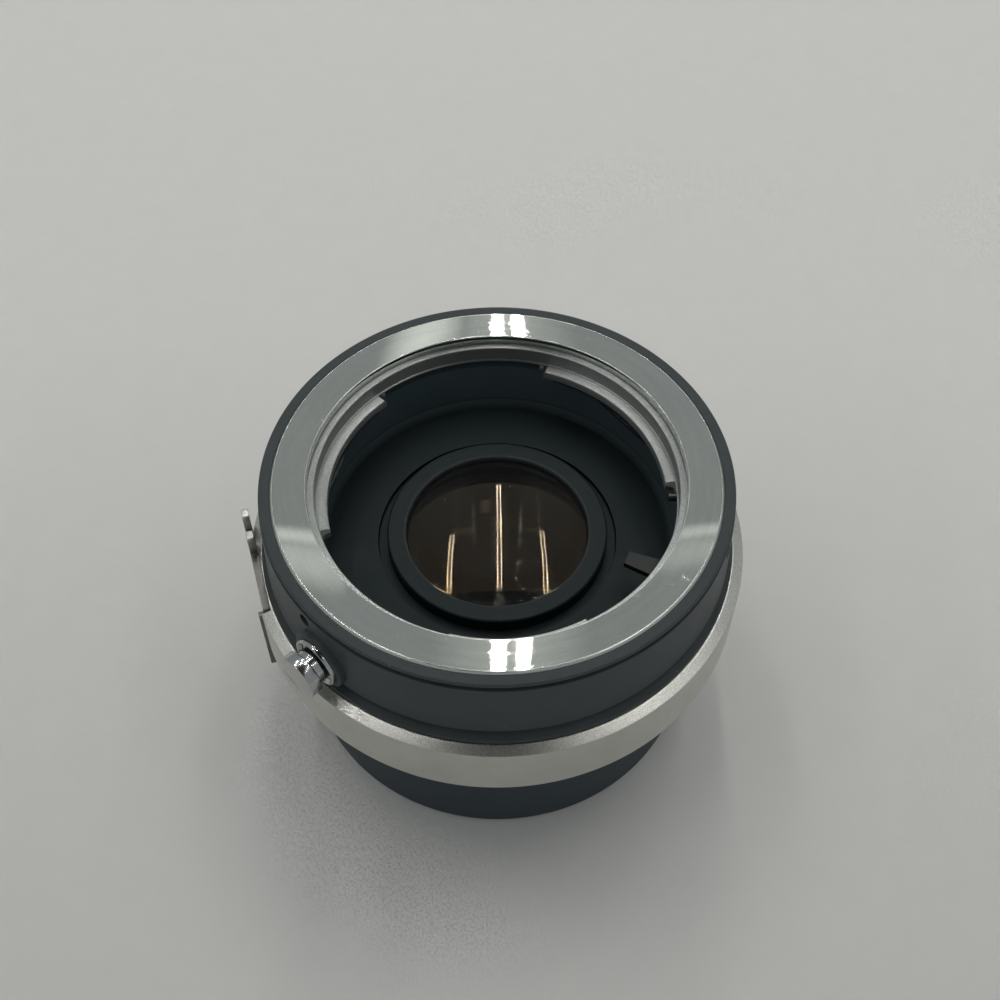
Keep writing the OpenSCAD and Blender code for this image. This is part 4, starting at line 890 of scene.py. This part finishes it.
# %% Rear barrel
rear = turn(
    [(24.5, 17.0), (29.5, 17.0), (30.0, 17.5), (30.0, 21.9), (29.02, 21.9), (29.02, 19.5), (24.5, 19.5)],
    [(29.5, 17.0, 0.15), (30.0, 17.5, 0.15), (30.0, 21.9, 0.18), (29.02, 21.9, 0.08)], 240,
)
set_down("rear_barrel_turned", rear, "body", "black_enamel", "rear_barrel")

# %% [markdown]
# ## The rear cap
# The rear cap, which the teleconverter stands on, is a dish of moulded plastic with soft edges. A shell with a
# Solidify modifier could make it, but a profile gives the floor and the wall their own thickness. Three tabs inside it
# hold it on the rear bayonet.

# %% Rear cap
TAB_TIP, TAB_ROOT, TAB_LOW, TAB_THICK = 22.7, 27.7, 11.6, 1.4
cap = turn(
    [(0, 0), (27.95, 0), (28.55, 0.6), (28.55, 14.8), (26.95, 14.8), (26.95, 1.6), (0, 1.6)],
    [(27.95, 0, 0.22), (28.55, 0.6, 0.22), (28.55, 14.8, 0.30), (26.95, 14.8, 0.30), (26.95, 1.6, 0.5)], 240, False,
)
for start, end in ((5, 71), (135, 194), (256, 298)):
    first, sweep = math.radians(start), math.radians(end - start)
    tab = strip(TAB_TIP, TAB_ROOT, TAB_LOW, first, sweep, end - start)
    thicken(tab, (0, 0, TAB_THICK * MM))
    round_off(tab, sharp_edges(tab), 0.2)
    cap = combine(cap, tab, "UNION")
set_down("cap_dish", cap, "cap", "cap_plastic", "rear_cap")

# %% [markdown]
# ## The lens cell's ring
# The cell's ring screws down on the front glass: a small turned ring with soft edges, and a shoulder lower down that
# keeps stray light out of the gap round the lens tube. Two rings could be stacked, but the real one is one piece.

# %% Cell ring
cell = turn(
    [(12.5, 31.45), (13.18, 31.45), (13.18, 31.12), (15.02, 31.12), (15.02, 29.7), (16.3, 29.7), (16.3, 30.0),
     (15.06, 30.05), (15.05, 32.1), (14.85, 32.3), (12.7, 32.3), (12.5, 32.1)],
    [(15.05, 32.1, 0.08), (14.85, 32.3, 0.08), (12.7, 32.3, 0.08), (12.5, 32.1, 0.06)],
)
set_down("cell_ring", cell, "body", "cell_black", "front_retaining_ring")

# %% [markdown]
# ## The glass
# The front group is two lenses cemented together, so light sees one thick lens with a crown. A lens could be cut from
# spheres with Booleans, but reflections in glass show every facet. So each face's arc is one point swung round the
# centre of its curve, and the whole outline is then spun round the axis.

# %% Lenses
CLEAR, GLASS_EDGE = 12.45, 13.15


def lens(top, top_curve, low, low_curve):
    """A lens between two heights at its edge. A curve over 0 bulges, under 0 is hollow, and 0 is flat."""
    bm = bmesh.new()
    rims = []
    for height, curve, side in ((top, top_curve, 1), (low, low_curve, -1)):
        shoulder = bm.verts.new((CLEAR * MM, 0, height * MM))
        if curve:
            to_centre = -math.copysign(math.sqrt(curve**2 - CLEAR**2), curve) * side
            swing = math.asin(CLEAR / abs(curve)) * (1 if to_centre > 0 else -1)
            bmesh.ops.spin(
                bm, geom=[shoulder], axis=(0, 1, 0), cent=(0, 0, (height + to_centre) * MM), angle=swing, steps=28
            )
        else:
            bm.edges.new((shoulder, bm.verts.new((0, 0, height * MM))))
        rims.append(bm.verts.new((GLASS_EDGE * MM, 0, height * MM)))
        bm.edges.new((shoulder, rims[-1]))
    bm.edges.new(rims)
    bmesh.ops.spin(
        bm, geom=bm.verts[:] + bm.edges[:], axis=(0, 0, 1), cent=(0, 0, 0), angle=math.tau, steps=192, use_merge=True
    )
    bmesh.ops.remove_doubles(bm, verts=bm.verts, dist=2e-7)
    bmesh.ops.dissolve_degenerate(bm, edges=bm.edges, dist=1e-8)
    bmesh.ops.recalc_face_normals(bm, faces=bm.faces)
    return bm


front_group = set_down(
    "front_lens", lens(31.4, 50, 25.15, 41), "body", "coated_glass", "front_element", "front_group_rear_element"
)
front_group.data.materials[0] = finish["front_glass"]
set_down("middle_lens", lens(22.25, -50, 18.4, -60), "body", "coated_glass", "middle_element")
set_down("rear_lens", lens(13.6, 40, 12.35, 0), "body", "coated_glass", "rear_element")

# %% [markdown]
# ## The solids that stay
# The other solids already have the right shape: screws, springs, spacers and the parts inside. They could be modelled
# again, but little of them shows. They keep their meshes, and each gets the finish of its material slot.

# %% Finishes on the solids
OTHER_FINISH = {"lens_stop_pin": "relay_metal"}
dressed = 0
for part in frame["record"]["subparts"]:
    solid = frame["nodes"][part["node"]]
    solid.data.materials.clear()
    solid.data.materials.append(finish[OTHER_FINISH.get(part["node"], part["material_slot"])])
    dressed += 1
print("solids with a finish:", dressed)

# %% [markdown]
# ## The floor
# The photograph was taken on a plain pale surface. An endless white could come from the world alone, but a real floor
# takes the shadow and shines back on the silver ring from below. It is one large grid with a faint mottle.


# %% Floor
def sheet(name, bm, slot):
    """A plain object for the stage."""
    mesh = bpy.data.meshes.new(name)
    bm.to_mesh(mesh)
    bm.free()
    mesh.materials.append(finish[slot])
    thing = bpy.data.objects.new(name, mesh)
    bpy.context.scene.collection.objects.link(thing)
    print(name, len(mesh.polygons), "faces")
    return thing


tree, shader, where = start_finish("pale_floor", Roughness=0.6, Specular_IOR_Level=0.3)
grain = use(tree, FINE_GRAIN, where, Grain=900.0)
link(tree, mixed(tree, grain["Mottle"], (0.715, 0.71, 0.68, 1), (0.73, 0.725, 0.695, 1)), shader, "Base Color")
floor_grid = bmesh.new()
bmesh.ops.create_grid(floor_grid, x_segments=2, y_segments=2, size=3.0)
floor = sheet("floor", floor_grid, "pale_floor")

# %% [markdown]
# ## The dark card
# A camera that is this close stands in the light itself, and shiny metal shows it as a dark patch. A card by the
# camera stands for that. The whole world could be darker on that side, but then the floor would be too. The camera
# doesn't see the card.

# %% Dark card behind the camera
CARD_SIZE, CARD_PLACE = (0.135, 0.23, 1), (0, 0.07, 0.008)
tree, shader, where = start_finish("dark_card", Roughness=0.7)
grain = use(tree, FINE_GRAIN, where, Grain=900.0)
link(tree, mixed(tree, grain["Mottle"], (0.03, 0.03, 0.03, 1), (0.04, 0.04, 0.04, 1)), shader, "Base Color")
card_grid = bmesh.new()
bmesh.ops.create_grid(card_grid, x_segments=2, y_segments=2, size=0.5)
bmesh.ops.scale(card_grid, vec=CARD_SIZE, verts=card_grid.verts)
bmesh.ops.translate(card_grid, vec=CARD_PLACE, verts=card_grid.verts)
bmesh.ops.transform(card_grid, matrix=camera.matrix_world, verts=card_grid.verts)
card = sheet("card", card_grid, "dark_card")
card.visible_camera = False

# %% [markdown]
# ## The ceiling lamps
# Long lamps hang from the ceiling in pairs of rows of diodes. They give the bars on the flange, the thin streaks on
# the chrome and in the glass, and a soft shadow in front. One big soft light would give the shadow alone, so each row
# is a narrow area light of its own, and its strength goes up and down along it as the diodes do.

# %% Rows of diodes
LAMP_HEIGHT, LAMP_WIDTH, LAMP_GLOW = 1.5, 0.006, 65.0
HALF_GAP, DIODE_PITCH, DIODE_HALF = 0.017, 0.045, 0.20
DIM_BETWEEN, BRIGHT_ON = 0.10, 2.35


def diodes(lamp, length):
    """Makes a lamp shine in a row of separate diodes instead of one even strip."""
    lamp.use_nodes = True
    tree = lamp.node_tree
    glow = tree.nodes["Emission"]
    along = split(tree, add(tree, "NewGeometry").outputs["Parametric"])["Y"]
    count = max(1, round(length / DIODE_PITCH))
    step = maths(tree, "FRACT", maths(tree, "MULTIPLY", along, float(count)))
    lit = maths(tree, "LESS_THAN", maths(tree, "ABSOLUTE", maths(tree, "SUBTRACT", step, 0.5)), DIODE_HALF)
    tree.links.new(spread(tree, lit, 0.0, 1.0, DIM_BETWEEN, BRIGHT_ON), glow.inputs["Strength"])


ROWS = (
    ("wide_left", -0.85, -0.5, 0.75, 0.5), ("left", -0.43, -0.1, 0.97, 1.0), ("middle", 0.0186, -0.1, 2.07, 1.0),
    ("right", 0.43, -0.1, 1.03, 1.0), ("wide_right", 0.85, -0.5, 0.75, 0.5),
)
for label, across, near_end, far_end, share in ROWS:
    for side in (-1, 1):
        length = far_end - near_end
        lamp = bpy.data.lights.new("lamp_%s_%s" % (label, "a" if side < 0 else "b"), "AREA")
        lamp.shape, lamp.size, lamp.size_y = "RECTANGLE", LAMP_WIDTH, length
        lamp.energy = share * LAMP_GLOW * math.pi * LAMP_WIDTH * length
        lamp.color = (1.0, 0.985, 0.95)
        diodes(lamp, length)
        row = bpy.data.objects.new(lamp.name, lamp)
        row.location = (across + side * HALF_GAP, (far_end + near_end) / 2, LAMP_HEIGHT)
        row.visible_camera = False
        bpy.context.scene.collection.objects.link(row)
print("rows of diodes:", 2 * len(ROWS))

# %% [markdown]
# ## Soft glows
# The flange in the photograph also shows soft, pale zones, as from a ceiling that is lit unevenly. A picture of a room
# could be used as the world, but nothing is read from disk here. So six faint area lights fade out to their sides like
# half a wave.

# %% Glows on the ceiling
PATCHES = (
    ("far", -0.118, 1.45, 0.14, 0.30, 0.65, "X"), ("middle", 0.02, 1.15, 0.22, 1.2, 0.22, "X"),
    ("left", -0.32, 1.030, 0.20, 0.035, 0.50, "Y"), ("left_wide", -0.31, 0.985, 0.20, 0.12, 0.34, "Y"),
    ("right", 0.315, 1.035, 0.18, 0.030, 0.42, "Y"), ("right_wide", 0.315, 1.00, 0.18, 0.08, 0.22, "Y"),
)
for label, across, along, wide, deep, peak, axis in PATCHES:
    lamp = bpy.data.lights.new("glow_" + label, "AREA")
    lamp.shape, lamp.size, lamp.size_y = "RECTANGLE", wide, deep
    lamp.energy, lamp.color = peak * math.pi * wide * deep, (1.0, 0.985, 0.94)
    lamp.use_nodes = True
    tree = lamp.node_tree
    on_it = split(tree, add(tree, "NewGeometry").outputs["Parametric"])[axis]
    fade = maths(tree, "SINE", maths(tree, "MULTIPLY", on_it, math.pi))
    tree.links.new(fade, tree.nodes["Emission"].inputs["Strength"])
    patch = bpy.data.objects.new(lamp.name, lamp)
    patch.location, patch.visible_camera = (across, along, LAMP_HEIGHT), False
    bpy.context.scene.collection.objects.link(patch)
print("glows:", len(PATCHES))

# %% [markdown]
# ## The room
# The rest of the room sends even, slightly cool light from all sides. A sky texture would bring a sun and a horizon
# that the metal would show, so the world is one colour.

# %% World
world = bpy.data.worlds.new("even_room")
world.use_nodes = True
world.node_tree.nodes["Background"].inputs["Color"].default_value = (0.335, 0.35, 0.36, 1)
bpy.context.scene.world = world
